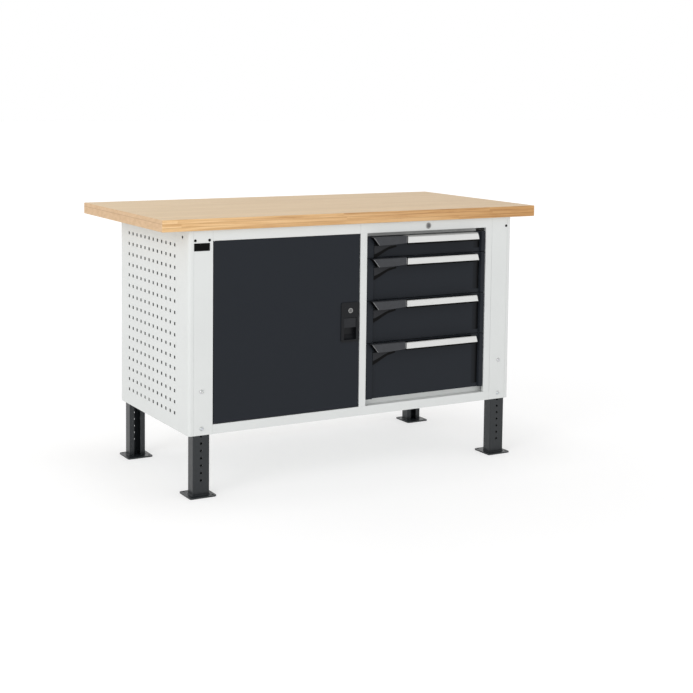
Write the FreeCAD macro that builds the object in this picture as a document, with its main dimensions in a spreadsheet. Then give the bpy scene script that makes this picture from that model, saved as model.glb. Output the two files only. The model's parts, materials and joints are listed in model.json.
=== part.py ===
"""Height-adjustable workbench: beech worktop, perforated side panels, a cupboard and four drawers.

Millimetres, +X to the right along the front, +Y to the back, +Z up.
The origin is at floor level in the middle of the overall footprint.
"""
import FreeCAD, Part
import os
import Sketcher
from FreeCAD import Rotation, Vector

doc = FreeCAD.newDocument("workbench")
dims = doc.addObject("Spreadsheet::Sheet", "Dims")
nodes = []


# ---------------------------------------------------------------- dimensions

class Size:
    """A length that carries its number and the spreadsheet expression that gives it."""

    def __init__(self, number, text):
        self.number = number
        self.text = text

    def __add__(self, other):
        other = size(other)
        return Size(self.number + other.number, f"({self.text} + {other.text})")

    def __sub__(self, other):
        other = size(other)
        return Size(self.number - other.number, f"({self.text} - {other.text})")

    def __mul__(self, factor):
        factor = size(factor)
        return Size(self.number * factor.number, f"({self.text} * {factor.text})")

    def __truediv__(self, factor):
        factor = size(factor)
        return Size(self.number / factor.number, f"({self.text} / {factor.text})")

    def __neg__(self):
        return Size(-self.number, f"(0 - {self.text})")

    __radd__ = __add__
    __rmul__ = __mul__


def size(value):
    """Return value as a Size, so that plain numbers and Sizes mix freely."""
    if isinstance(value, Size):
        return value
    return Size(float(value), f"{float(value):.4f}")


def driving(alias, number):
    """Put a driving dimension into the spreadsheet and return it as a Size."""
    driving.row += 1
    dims.set(f"A{driving.row}", alias)
    dims.set(f"B{driving.row}", str(number))
    dims.setAlias(f"B{driving.row}", alias)
    return Size(float(number), f"Dims.{alias}")


driving.row = 0

# overall
top_width = driving("top_width", 1500)
top_depth = driving("top_depth", 750)
top_thickness = driving("top_thickness", 40)
total_height = driving("total_height", 932)
body_width = driving("body_width", 1304)
body_depth = driving("body_depth", 620)
body_setback = driving("body_setback", 12)
handle_overhang = driving("handle_overhang", 10)
body_bottom = driving("body_bottom", 208)
sheet = driving("sheet", 1.5)
seam = driving("seam", 0.3)
edge_round = driving("edge_round", 2)

# side panels
upright_width = driving("upright_width", 87)
corner_radius = driving("corner_radius", 10)
hole_size = driving("hole_size", 10)
hole_pitch = driving("hole_pitch", 38)
hole_columns = driving("hole_columns", 12)
hole_rows = driving("hole_rows", 16)
first_column_from_back = driving("first_column_from_back", 85)
fixing_hole_radius = driving("fixing_hole_radius", 4)
fixing_hole_drop = driving("fixing_hole_drop", 33)
side_hole_drop = driving("side_hole_drop", 25)
side_hole_setback = driving("side_hole_setback", 52)

# legs
leg_centre_x = driving("leg_centre_x", 605)
leg_width = driving("leg_width", 60)
accessory_outer_inset = driving("accessory_outer_inset", 23)
accessory_inner_inset = driving("accessory_inner_inset", 74)
corner_seam_inset = driving("corner_seam_inset", 17)
seam_groove = driving("seam_groove", 0.8)
leg_bay = driving("leg_bay", 86)
flange_lip = driving("flange_lip", 44)
leg_depth = driving("leg_depth", 40)
leg_wall = driving("leg_wall", 3)
leg_lip = driving("leg_lip", 18)
leg_top = driving("leg_top", 505)
leg_gap = driving("leg_gap", 0.5)
leg_hole_radius = driving("leg_hole_radius", 4.5)
leg_hole_pitch = driving("leg_hole_pitch", 25)
leg_hole_first = driving("leg_hole_first", 55)
leg_hole_count = driving("leg_hole_count", 18)
plate_size = driving("plate_size", 96)
plate_thickness = driving("plate_thickness", 5)
plate_setback = driving("plate_setback", 29)
plate_hole_radius = driving("plate_hole_radius", 4.5)
plate_hole_spacing = driving("plate_hole_spacing", 74)
lower_screw = driving("lower_screw", 230)
upper_screw = driving("upper_screw", 355)

# front frame and housings
opening_top = driving("opening_top", 856)
opening_bottom = driving("opening_bottom", 240)
rail_depth = driving("rail_depth", 40)
stile_width = driving("stile_width", 26.7)
stile_lip = driving("stile_lip", 12)
inner_front = driving("inner_front", 26)
inner_back = driving("inner_back", 598)
floor_height = driving("floor_height", 257.5)
shelf_height = driving("shelf_height", 540)
shelf_edge = driving("shelf_edge", 25)

# door
door_gap = driving("door_gap", 2)
door_thickness = driving("door_thickness", 20)
pivot_inset = driving("pivot_inset", 4.6)
pivot_radius = driving("pivot_radius", 2)
running_clearance = driving("running_clearance", 0.05)
key_height = driving("key_height", 587)
key_inset = driving("key_inset", 38.5)
key_radius = driving("key_radius", 6)
latch_plate_bottom = driving("latch_plate_bottom", 476)
latch_plate_top = driving("latch_plate_top", 616)
recess_bottom = driving("recess_bottom", 484)
recess_top = driving("recess_top", 562)
paddle_bottom = driving("paddle_bottom", 527)

# drawers
drawer_gap = driving("drawer_gap", 2)
drawer_stack_top = driving("drawer_stack_top", 843)
drawer_heights = [
    driving("first_drawer_height", 75),
    driving("second_drawer_height", 150),
    driving("third_drawer_height", 150),
    driving("fourth_drawer_height", 200),
]
drawer_sheet = driving("drawer_sheet", 1.2)
drawer_depth = driving("drawer_depth", 550)
column_width = driving("column_width", 27)
column_depth = driving("column_depth", 12)
right_column_width = driving("right_column_width", 20)
panel_thickness = driving("panel_thickness", 3)
groove_width = driving("groove_width", 28)
groove_end_gap = driving("groove_end_gap", 14)
lip_gap = driving("lip_gap", 38)
bar_left = driving("bar_left", 183)
bar_right = driving("bar_right", 493)
bar_height = driving("bar_height", 26)
rail_length = driving("rail_length", 540)
rail_height = driving("rail_height", 44)
rail_reach = driving("rail_reach", 23.2)
slide_width = driving("slide_width", 19)

# drawer lock
lock_height = driving("lock_height", 873)
lock_radius = driving("lock_radius", 7)
lock_throw = driving("lock_throw", 8)

# places worked out from the driving dimensions
handle_front = -(top_depth + handle_overhang) / 2
top_front = handle_front + handle_overhang
top_back = top_front + top_depth
top_underside = total_height - top_thickness
body_front = top_front + body_setback
body_back = body_front + body_depth
side_face = body_width / 2
upright_inner = side_face - upright_width
front_inside = body_front + sheet
wall_front = body_front + inner_front
wall_back = body_front + inner_back
module_left = size(seam)
module_right = upright_inner - seam
left_wall_inner = module_left + sheet
right_wall_inner = module_right - sheet
drawers_middle = (module_left + module_right) / 2
drawer_left = module_left + stile_width + drawer_gap
drawer_right = module_right - stile_width - drawer_gap
drawer_front_face = body_front + 1
drawer_back_plane = drawer_front_face + column_depth
box_left = left_wall_inner + rail_reach + slide_width
box_right = right_wall_inner - rail_reach - slide_width
door_left = -upright_inner + 3
door_right = -door_gap
door_bottom = opening_bottom + door_gap
door_top = opening_top - door_gap
door_front = body_front + 1
door_back = door_front + door_thickness
pivot_x = door_left + pivot_inset
pivot_y = door_front + pivot_inset
key_x = size(0) - key_inset


# ------------------------------------------------------------ Part primitives

def block(name, x, y, z):
    """A box between low and high Sizes along each axis."""
    box = doc.addObject("Part::Box", name)
    for prop, axis, (low, high) in (("Length", "x", x), ("Width", "y", y), ("Height", "z", z)):
        box.setExpression(prop, (size(high) - low).text)
        box.setExpression(f"Placement.Base.{axis}", size(low).text)
    return box


TURNS = {
    "x": Rotation(Vector(0, 1, 0), 90),
    "y": Rotation(Vector(1, 0, 0), -90),
    "z": Rotation(),
}


def round_bar(name, axis, start, length, radius, end_radius=None):
    """A cylinder (or a cone, when end_radius is given) from start along +axis."""
    if end_radius is None:
        bar = doc.addObject("Part::Cylinder", name)
        bar.setExpression("Radius", size(radius).text)
    else:
        bar = doc.addObject("Part::Cone", name)
        bar.setExpression("Radius1", size(radius).text)
        bar.setExpression("Radius2", size(end_radius).text)
    bar.setExpression("Height", size(length).text)
    bar.Placement.Rotation = TURNS[axis]
    for letter, value in zip("xyz", start):
        bar.setExpression(f"Placement.Base.{letter}", size(value).text)
    return bar


def joined(name, pieces):
    """Pieces fused into one solid."""
    fusion = doc.addObject("Part::MultiFuse", name)
    fusion.Shapes = pieces
    return fusion


def grouped(name, pieces):
    """Separate solids kept together under one name."""
    group = doc.addObject("Part::Compound", name)
    group.Links = pieces
    return group


def cut(name, base, tools):
    """Base with every tool taken away."""
    tool = tools[0] if len(tools) == 1 else joined(f"{name}_tools", tools)
    result = doc.addObject("Part::Cut", name)
    result.Base = base
    result.Tool = tool
    return result


def node(name, shape):
    """Give a finished sub-part its name and remember it for the export."""
    shape.Label = name
    nodes.append(shape)
    return shape


def mirrored(side, low, high):
    """The interval low..high on the +X side, or its mirror image for side -1."""
    return (low, high) if side > 0 else (-high, -low)


def from_face(end, near, far):
    """Distances measured inwards from the front face (end -1) or the back face (end 1)."""
    if end < 0:
        return (body_front + near, body_front + far)
    return (body_back - far, body_back - near)


# ------------------------------------------------------- PartDesign building

def new_body(name):
    return doc.addObject("PartDesign::Body", f"{name}_body")


def sketch_on(body, role, offset, name):
    """An empty sketch parallel to an origin plane of the body, offset along its normal."""
    sketch = body.newObject("Sketcher::SketchObject", name)
    plane = [item for item in body.Origin.OriginFeatures if item.Role == role][0]
    sketch.AttachmentSupport = [(plane, "")]
    sketch.MapMode = "FlatFace"
    sketch.setExpression("AttachmentOffset.Base.z", size(offset).text)
    return sketch


def place_point(sketch, index, position, point):
    """Hold a sketch point at two Sizes measured from the sketch's origin."""
    for kind, value in (("DistanceX", point[0]), ("DistanceY", point[1])):
        value = size(value)
        number = sketch.addConstraint(Sketcher.Constraint(kind, -1, 1, index, position, value.number))
        sketch.setExpression(f"Constraints[{number}]", value.text)


def outline(sketch, points):
    """A closed polygon through the points."""
    vectors = [Vector(size(x).number, size(y).number, 0) for x, y in points]
    count = len(points)
    first = len(sketch.Geometry)
    for index in range(count):
        sketch.addGeometry(Part.LineSegment(vectors[index], vectors[(index + 1) % count]))
    for index in range(count):
        following = first + (index + 1) % count
        sketch.addConstraint(Sketcher.Constraint("Coincident", first + index, 2, following, 1))
    for index, point in enumerate(points):
        place_point(sketch, first + index, 1, point)


def rectangle(sketch, x, y):
    outline(sketch, [(x[0], y[0]), (x[1], y[0]), (x[1], y[1]), (x[0], y[1])])


def circle(sketch, centre, radius):
    radius = size(radius)
    middle = Vector(size(centre[0]).number, size(centre[1]).number, 0)
    index = sketch.addGeometry(Part.Circle(middle, Vector(0, 0, 1), radius.number))
    place_point(sketch, index, 3, centre)
    number = sketch.addConstraint(Sketcher.Constraint("Radius", index, radius.number))
    sketch.setExpression(f"Constraints[{number}]", radius.text)


# the XZ plane's normal points along -Y, the other two normals along their positive axis
def pad(body, role, draw, low, high, name="Pad"):
    """Material drawn by draw(sketch) between low and high along the plane's world axis."""
    offset = -size(high) if role == "XZ_Plane" else size(low)
    sketch = sketch_on(body, role, offset, f"{name}Sketch")
    draw(sketch)
    feature = body.newObject("PartDesign::Pad", name)
    feature.Profile = sketch
    feature.setExpression("Length", (size(high) - low).text)
    sketch.Visibility = False
    return feature


def pocket(body, role, draw, low=None, high=None, name="Pocket"):
    """A pocket between low and high along the plane's world axis, or right through."""
    through = low is None
    if through:
        offset = size(0)
    else:
        offset = -size(low) if role == "XZ_Plane" else size(high)
    sketch = sketch_on(body, role, offset, f"{name}Sketch")
    draw(sketch)
    feature = body.newObject("PartDesign::Pocket", name)
    feature.Profile = sketch
    if through:
        feature.Type = "ThroughAll"
        feature.SideType = "Symmetric"
    else:
        feature.setExpression("Length", (size(high) - low).text)
    return feature


def fillet(body, chosen, radius, name="Fillet"):
    """Round every edge of the body for which chosen(edge) is true."""
    doc.recompute()
    base = body.Tip
    names = [f"Edge{i + 1}" for i, edge in enumerate(base.Shape.Edges) if chosen(edge)]
    feature = body.newObject("PartDesign::Fillet", name)
    feature.Base = (base, names)
    feature.setExpression("Radius", size(radius).text)
    body.Tip = feature
    return feature


def near(value, target):
    return abs(value - size(target).number) < 1e-3


def upright_edge(x, y):
    """A test for straight vertical edges that stand at x, y."""
    def test(edge):
        ends = [vertex.Point for vertex in edge.Vertexes]
        return all(near(end.x, x) and near(end.y, y) for end in ends)
    return test


def any_of(tests):
    return lambda edge: any(test(edge) for test in tests)


# ------------------------------------------------------------------ worktop

def make_worktop():
    body = new_body("worktop")
    across = (-top_width / 2, top_width / 2)
    pad(body, "XY_Plane", lambda s: rectangle(s, across, (top_front, top_back)), top_underside, total_height)
    fillet(body, lambda edge: True, edge_round)
    return node("worktop", body)


# -------------------------------------------------------------- side panels

def accessory_insets(side):
    """The left upright has a pair of accessory holes, the right one only the outer hole."""
    pair = (accessory_outer_inset, accessory_inner_inset)
    return pair if side < 0 else pair[:1]


def make_side_panel(name, side):
    """A perforated sheet folded round the front and back corners into the upright faces."""
    body = new_body(name)
    outer = side_face * side
    inner = (side_face - sheet) * side
    fold = (upright_inner + seam) * side
    profile = [
        (outer, body_front), (outer, body_back), (fold, body_back), (fold, body_back - sheet),
        (inner, body_back - sheet), (inner, front_inside), (fold, front_inside), (fold, body_front),
    ]
    pad(body, "XY_Plane", lambda s: outline(s, profile), body_bottom, top_underside)
    corners = [upright_edge(outer, body_front), upright_edge(outer, body_back)]
    bends = [upright_edge(inner, front_inside), upright_edge(inner, body_back - sheet)]
    fillet(body, any_of(corners), corner_radius, "Corners")
    fillet(body, any_of(bends), corner_radius - sheet, "Bends")
    inner_reach = (upright_inner + seam * 4) * side
    flange_y = (body_front + leg_bay, body_back - leg_bay)
    pad(body, "XY_Plane", lambda s: rectangle(s, (inner, inner_reach), flange_y), body_bottom,
        body_bottom + sheet, "BottomFlange")
    lip_x = (inner_reach, inner_reach + sheet * side)
    pad(body, "XY_Plane", lambda s: rectangle(s, lip_x, flange_y), body_bottom,
        body_bottom + flange_lip, "FlangeLip")
    seam_x = ((side_face - corner_seam_inset) * side, (side_face - corner_seam_inset - seam_groove) * side)
    groove_y = (body_front, body_front + seam_groove)
    pocket(body, "XY_Plane", lambda s: rectangle(s, seam_x, groove_y), name="CornerSeam")

    def one_square(sketch):
        column = body_back - first_column_from_back
        bottom_row = body_bottom + (top_underside - body_bottom - (hole_rows - 1) * hole_pitch) / 2
        half = hole_size / 2
        rectangle(sketch, (column - half, column + half), (bottom_row - half, bottom_row + half))

    square = pocket(body, "YZ_Plane", one_square, name="Perforation")
    doc.recompute()
    pattern = body.newObject("PartDesign::LinearPattern", "Perforations")
    pattern.Originals = [square]
    pattern.Direction = (square.Profile[0], ["H_Axis"])
    pattern.Reversed = True
    pattern.setExpression("Length", ((hole_columns - 1) * hole_pitch).text)
    pattern.setExpression("Occurrences", hole_columns.text)
    pattern.Direction2 = (square.Profile[0], ["V_Axis"])
    pattern.setExpression("Length2", ((hole_rows - 1) * hole_pitch).text)
    pattern.setExpression("Occurrences2", hole_rows.text)
    body.Tip = pattern

    def face_holes(sketch):
        for height in (lower_screw, upper_screw):
            circle(sketch, (leg_centre_x * side, height), fixing_hole_radius)
        for inset in accessory_insets(side):
            place = ((side_face - inset) * side, top_underside - fixing_hole_drop)
            circle(sketch, place, fixing_hole_radius)

    pocket(body, "XZ_Plane", face_holes, name="FaceHoles")
    side_hole = (body_front + side_hole_setback, top_underside - side_hole_drop)
    pocket(body, "YZ_Plane", lambda s: circle(s, side_hole, fixing_hole_radius), name="SideHole")
    return node(name, body)


# --------------------------------------------------------------------- legs

CORNERS = {
    "front_left": (-1, -1),
    "front_right": (1, -1),
    "rear_left": (-1, 1),
    "rear_right": (1, 1),
}


def make_leg_sleeves():
    """A hat section behind each upright face, in which a leg slides."""
    half = leg_width / 2 + leg_gap
    back = sheet + leg_gap + leg_depth + leg_gap
    height = (body_bottom + 2, top_underside - 2)
    hats = []
    for corner, (side, end) in CORNERS.items():
        parts = {
            "back": ((leg_centre_x - half - sheet, leg_centre_x + half + sheet), (back, back + sheet)),
            "inner_wall": ((leg_centre_x - half - sheet, leg_centre_x - half), (sheet, back + sheet)),
            "outer_wall": ((leg_centre_x + half, leg_centre_x + half + sheet), (sheet, back + sheet)),
            "inner_flange": ((upright_inner + sheet, leg_centre_x - half), (sheet, sheet * 2)),
            "outer_flange": ((leg_centre_x + half, side_face - corner_radius - 1), (sheet, sheet * 2)),
        }
        walls = [
            block(f"{corner}_sleeve_{part}", mirrored(side, *x), from_face(end, *y), height)
            for part, (x, y) in parts.items()
        ]
        hats.append(joined(f"{corner}_sleeve", walls))
    return node("leg_sleeves", grouped("leg_sleeve_group", hats))


def make_leg(corner, side, end):
    """A C channel with a row of height holes, welded to a foot plate."""
    name = f"{corner}_leg"
    body = new_body(name)
    half = plate_size / 2
    middle_x = leg_centre_x * side
    middle_y = from_face(end, plate_setback, plate_setback)[0]
    foot = ((middle_x - half, middle_x + half), (middle_y - half, middle_y + half))
    pad(body, "XY_Plane", lambda s: rectangle(s, *foot), 0, plate_thickness, "FootPlate")
    corners = [upright_edge(x, y) for x in foot[0] for y in foot[1]]
    fillet(body, any_of(corners), 8, "PlateCorners")

    web, inside, lips, mouth = [
        from_face(end, distance, distance)[0]
        for distance in (
            sheet + leg_gap,
            sheet + leg_gap + leg_wall,
            sheet + leg_gap + leg_depth - leg_wall,
            sheet + leg_gap + leg_depth,
        )
    ]
    left, right = middle_x - leg_width / 2, middle_x + leg_width / 2
    channel = [
        (left, web), (right, web), (right, mouth), (right - leg_lip, mouth), (right - leg_lip, lips),
        (right - leg_wall, lips), (right - leg_wall, inside), (left + leg_wall, inside),
        (left + leg_wall, lips), (left + leg_lip, lips), (left + leg_lip, mouth), (left, mouth),
    ]
    pad(body, "XY_Plane", lambda s: outline(s, channel), plate_thickness, leg_top, "Channel")
    fillet(body, any_of([upright_edge(left, web), upright_edge(right, web)]), 3, "ChannelBends")

    first = (middle_x, leg_hole_first)
    hole = pocket(body, "XZ_Plane", lambda s: circle(s, first, leg_hole_radius), name="HeightHole")
    doc.recompute()
    row = body.newObject("PartDesign::LinearPattern", "HeightHoles")
    row.Originals = [hole]
    row.Direction = (hole.Profile[0], ["V_Axis"])
    row.setExpression("Length", ((leg_hole_count - 1) * leg_hole_pitch).text)
    row.setExpression("Occurrences", leg_hole_count.text)
    body.Tip = row

    def plate_holes(sketch):
        reach = plate_hole_spacing / 2
        for sign_x in (-1, 1):
            for sign_y in (-1, 1):
                circle(sketch, (middle_x + reach * sign_x, middle_y + reach * sign_y), plate_hole_radius)

    pocket(body, "XY_Plane", plate_holes, 0, plate_thickness, "PlateHoles")
    return node(name, body)


def make_leg_clamp_screws():
    """Domed socket screws through the upright faces, two at each leg."""
    screws = []
    head_height = 3.5
    for corner, (side, end) in CORNERS.items():
        for height in (lower_screw, upper_screw):
            name = f"{corner}_screw_{int(height.number)}"
            x = leg_centre_x * side
            shank_low = from_face(end, 0, sheet)[0]
            shank = round_bar(f"{name}_shank", "y", (x, shank_low, height), sheet, fixing_hole_radius)
            if end < 0:
                start, radii, recess = body_front - head_height, (4.5, 7), body_front - head_height
            else:
                start, radii, recess = body_back, (7, 4.5), body_back + 1.5
            head = round_bar(f"{name}_head", "y", (x, start, height), head_height, *radii)
            socket = round_bar(f"{name}_socket", "y", (x, recess, height), 2, 2.2)
            screws.append(cut(name, joined(f"{name}_solid", [shank, head]), [socket]))
    return node("leg_clamp_screws", grouped("leg_clamp_screw_group", screws))


# ------------------------------------------------------------- front frame

def make_rail(name, x, profile, holes=None):
    """A folded rail: a profile in Y and Z, drawn out along X, with optional holes."""
    body = new_body(name)
    pad(body, "YZ_Plane", lambda s: outline(s, profile), *x)
    for role, draw in holes or []:
        pocket(body, role, draw, *rail_hole_span(role), name="Hole")
    return node(name, body)


def rail_hole_span(role):
    """Holes from below pass the lower flange of a top rail; front holes pass the front face."""
    if role == "XZ_Plane":
        return (body_front, front_inside)
    return (opening_bottom - sheet, opening_top + sheet)


def rail_profile(bottom, top):
    """A C open to the back."""
    back = body_front + rail_depth
    return [
        (body_front, bottom), (back, bottom), (back, bottom + sheet), (front_inside, bottom + sheet),
        (front_inside, top - sheet), (back, top - sheet), (back, top), (body_front, top),
    ]


def make_cupboard_top_rail():
    pivot_hole = ("XY_Plane", lambda s: circle(s, (pivot_x, pivot_y), pivot_radius))
    profile = rail_profile(opening_top, top_underside)
    return make_rail("cupboard_top_rail", (-upright_inner, size(0) - seam), profile, [pivot_hole])


def make_drawer_top_rail():
    """Shallower below, with an inner lip that closes the gap above the first drawer."""
    back = body_front + rail_depth
    lip_back = body_front + stile_lip + sheet
    profile = [
        (body_front, opening_top), (lip_back, opening_top), (lip_back, opening_top + sheet),
        (front_inside, opening_top + sheet), (front_inside, top_underside - sheet),
        (back, top_underside - sheet), (back, top_underside), (body_front, top_underside),
    ]
    lock_hole = ("XZ_Plane", lambda s: circle(s, (drawers_middle, lock_height), lock_radius + 2.6))
    rail = make_rail("drawer_top_rail", (module_left, upright_inner), profile, [lock_hole])
    lip_y = (lip_back - sheet, lip_back)
    lip_z = (drawer_stack_top + 2, opening_top)
    lip_end = drawer_right - lip_gap
    pad(rail, "YZ_Plane", lambda s: rectangle(s, lip_y, lip_z), drawer_left, lip_end, "InnerLip")
    return rail


def make_front_bottom_rail():
    pivot_hole = ("XY_Plane", lambda s: circle(s, (pivot_x, pivot_y), pivot_radius))
    profile = rail_profile(body_bottom, opening_bottom)
    return make_rail("front_bottom_rail", (-upright_inner, upright_inner), profile, [pivot_hole])


def make_drawer_wall(name, side):
    """A housing wall whose front edge is folded into the stile beside the drawers."""
    outer, sign = (module_left, 1) if side < 0 else (module_right, -1)
    lip_end = body_front + stile_lip
    profile = [
        (outer, body_front), (outer + stile_width * sign, body_front),
        (outer + stile_width * sign, lip_end), (outer + (stile_width - sheet) * sign, lip_end),
        (outer + (stile_width - sheet) * sign, front_inside), (outer + sheet * sign, front_inside),
        (outer + sheet * sign, wall_back), (outer, wall_back),
    ]
    body = new_body(name)
    pad(body, "XY_Plane", lambda s: outline(s, profile), opening_bottom, opening_top)
    if side < 0:
        slot_y = (door_back - 1, door_back + 5)
        slot_z = (key_height - 9, key_height + 30)
        pocket(body, "YZ_Plane", lambda s: rectangle(s, slot_y, slot_z), name="CamSlot")
    return node(name, body)


def make_cupboard_left_wall():
    outer = -upright_inner + sheet
    flange_back = wall_front - 2 + sheet
    profile = [
        (outer, wall_front - 2), (outer + 20, wall_front - 2), (outer + 20, flange_back),
        (outer + sheet, flange_back), (outer + sheet, wall_back), (outer, wall_back),
    ]
    body = new_body("cupboard_left_wall")
    pad(body, "XY_Plane", lambda s: outline(s, profile), opening_bottom, opening_top)
    return node("cupboard_left_wall", body)


def make_floor_panels():
    """The cupboard floor and the floor under the drawers, each folded down at the front."""
    floors = []
    spans = {
        "cupboard_floor": (-upright_inner + sheet * 2, module_left),
        "drawer_floor": (left_wall_inner, right_wall_inner),
    }
    for name, x in spans.items():
        plate = block(f"{name}_plate", x, (wall_front, wall_back), (floor_height, floor_height + sheet))
        fold_y = (wall_front, wall_front + sheet)
        fold = block(f"{name}_fold", x, fold_y, (opening_bottom, floor_height))
        floors.append(joined(name, [plate, fold]))
    return node("floor_panels", grouped("floor_panel_group", floors))


def make_back_panel():
    """A shallow tray between the rear uprights, with its edges folded forwards."""
    plate_back = body_back - 0.5
    x = (-upright_inner, upright_inner)
    z = (body_bottom, top_underside)
    tray_front = wall_back + 2
    body = new_body("back_panel")
    pad(body, "XZ_Plane", lambda s: rectangle(s, x, z), tray_front, plate_back)

    def hollow(sketch):
        rectangle(sketch, (x[0] + sheet, x[1] - sheet), (z[0] + sheet, z[1] - sheet))

    pocket(body, "XZ_Plane", hollow, tray_front, plate_back - sheet)
    return node("back_panel", body)


def make_shelf():
    """A shelf with all four edges folded down."""
    x = (-upright_inner + 5, size(0) - 2)
    y = (wall_front + 10, wall_back - 2)
    z = (shelf_height - shelf_edge, shelf_height)
    body = new_body("cupboard_shelf")
    pad(body, "XY_Plane", lambda s: rectangle(s, x, y), *z)

    def hollow(sketch):
        rectangle(sketch, (x[0] + sheet, x[1] - sheet), (y[0] + sheet, y[1] - sheet))

    pocket(body, "XY_Plane", hollow, z[0], z[1] - sheet)
    return node("cupboard_shelf", body)


def make_shelf_pegs():
    radius = 3
    length = 9
    left_start = -upright_inner + sheet * 2
    right_start = module_left - length
    pegs = []
    for row, y in (("front", wall_front + 50), ("rear", wall_back - 50)):
        for side, x in (("left", left_start), ("right", right_start)):
            start = (x, y, shelf_height - shelf_edge - radius)
            pegs.append(round_bar(f"{row}_{side}_peg", "x", start, length, radius))
    return node("shelf_pegs", grouped("shelf_peg_group", pegs))


def make_name_plate():
    """A blank plate near the top of the left upright."""
    body = new_body("name_plate")
    x = (-side_face + 18.5, -side_face + 75)
    z = (top_underside - 68, top_underside - 42)
    pad(body, "XZ_Plane", lambda s: rectangle(s, x, z), body_front - 1, body_front)

    def short_edges(edge):
        ends = [vertex.Point for vertex in edge.Vertexes]
        return len(ends) == 2 and abs(ends[0].y - ends[1].y) > 0.5

    fillet(body, short_edges, 2)
    return node("name_plate", body)


# --------------------------------------------------------------------- door

def make_door_panel():
    """The outer skin with its four edges folded back."""
    body = new_body("door_panel")
    skin_back = door_front + sheet
    fold_back = door_back - sheet
    x = (door_left, door_right)
    z = (door_bottom, door_top)
    pad(body, "XZ_Plane", lambda s: rectangle(s, x, z), door_front, fold_back)
    corners = [upright_edge(edge, door_front) for edge in x]
    fillet(body, any_of(corners), 1.4)

    def hollow(sketch):
        rectangle(sketch, (x[0] + sheet, x[1] - sheet), (z[0] + sheet, z[1] - sheet))

    def latch_opening(sketch):
        rectangle(sketch, latch_box_x(0.5), (recess_bottom - 4.5, recess_top + 4.5))
        circle(sketch, (key_x, key_height), key_radius + 3.3)

    def bolt_slot(sketch):
        rectangle(sketch, (bolt_y()[0] - 0.4, bolt_y()[1] + 0.4), (bolt_z()[0] - 0.4, bolt_z()[1] + 0.4))

    pocket(body, "XZ_Plane", hollow, skin_back, fold_back, "Hollow")
    pocket(body, "XZ_Plane", latch_opening, door_front, skin_back, "LatchOpening")
    pocket(body, "YZ_Plane", bolt_slot, door_right - sheet, door_right, "BoltSlot")
    pivot = lambda s: circle(s, (pivot_x, pivot_y), pivot_radius + running_clearance)
    pocket(body, "XY_Plane", pivot, name="PivotHoles")
    return node("door_panel", body)


def latch_box_x(margin):
    """Width of the latch housing behind the door skin."""
    return (door_right - 66 - margin, door_right - 10 + margin)


def bolt_y():
    return (door_front + 5, door_front + 13)


def bolt_z():
    return (recess_top + 7, recess_top + 13)


def make_door_inner_panel():
    body = new_body("door_inner_panel")
    x = (door_left + 2, door_right - 2)
    z = (door_bottom + 2, door_top - 2)
    span = (door_back - sheet, door_back)
    pad(body, "XZ_Plane", lambda s: rectangle(s, x, z), *span)
    pocket(body, "XZ_Plane", lambda s: circle(s, (key_x, key_height), key_radius + 1), *span)
    return node("door_inner_panel", body)


def make_door_hinge_sleeves():
    """Bushes inside the door's left edge, one at each end."""
    length = 30
    sleeves = []
    for end, low in (("top", door_top - sheet - length), ("bottom", door_bottom + sheet)):
        start = (pivot_x, pivot_y, low)
        tube = round_bar(f"{end}_sleeve_outside", "z", start, length, pivot_radius + 1)
        bore = round_bar(f"{end}_sleeve_bore", "z", start, length, pivot_radius + running_clearance)
        sleeves.append(cut(f"{end}_hinge_sleeve", tube, [bore]))
    return node("door_hinge_sleeves", grouped("door_hinge_sleeve_group", sleeves))


def make_door_hinge_pins():
    """Fixed pins in the top and bottom rails, each with a collar, on which the door turns."""
    reach = 24
    collar = 2
    top_low = door_top - sheet - reach
    top_collar = opening_top + sheet
    bottom_low = opening_bottom - sheet - 4
    pins = []
    shaft = round_bar("top_pin_shaft", "z", (pivot_x, pivot_y, top_low), top_collar + 4 - top_low, pivot_radius)
    ring = round_bar("top_pin_collar", "z", (pivot_x, pivot_y, top_collar), collar, pivot_radius + 1.5)
    pins.append(joined("top_pin", [shaft, ring]))
    length = door_bottom + sheet + reach - bottom_low
    shaft = round_bar("bottom_pin_shaft", "z", (pivot_x, pivot_y, bottom_low), length, pivot_radius)
    ring_low = opening_bottom - sheet - collar
    ring = round_bar("bottom_pin_collar", "z", (pivot_x, pivot_y, ring_low), collar, pivot_radius + 1.5)
    pins.append(joined("bottom_pin", [shaft, ring]))
    return node("door_hinge_pins", grouped("door_hinge_pin_group", pins))


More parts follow.
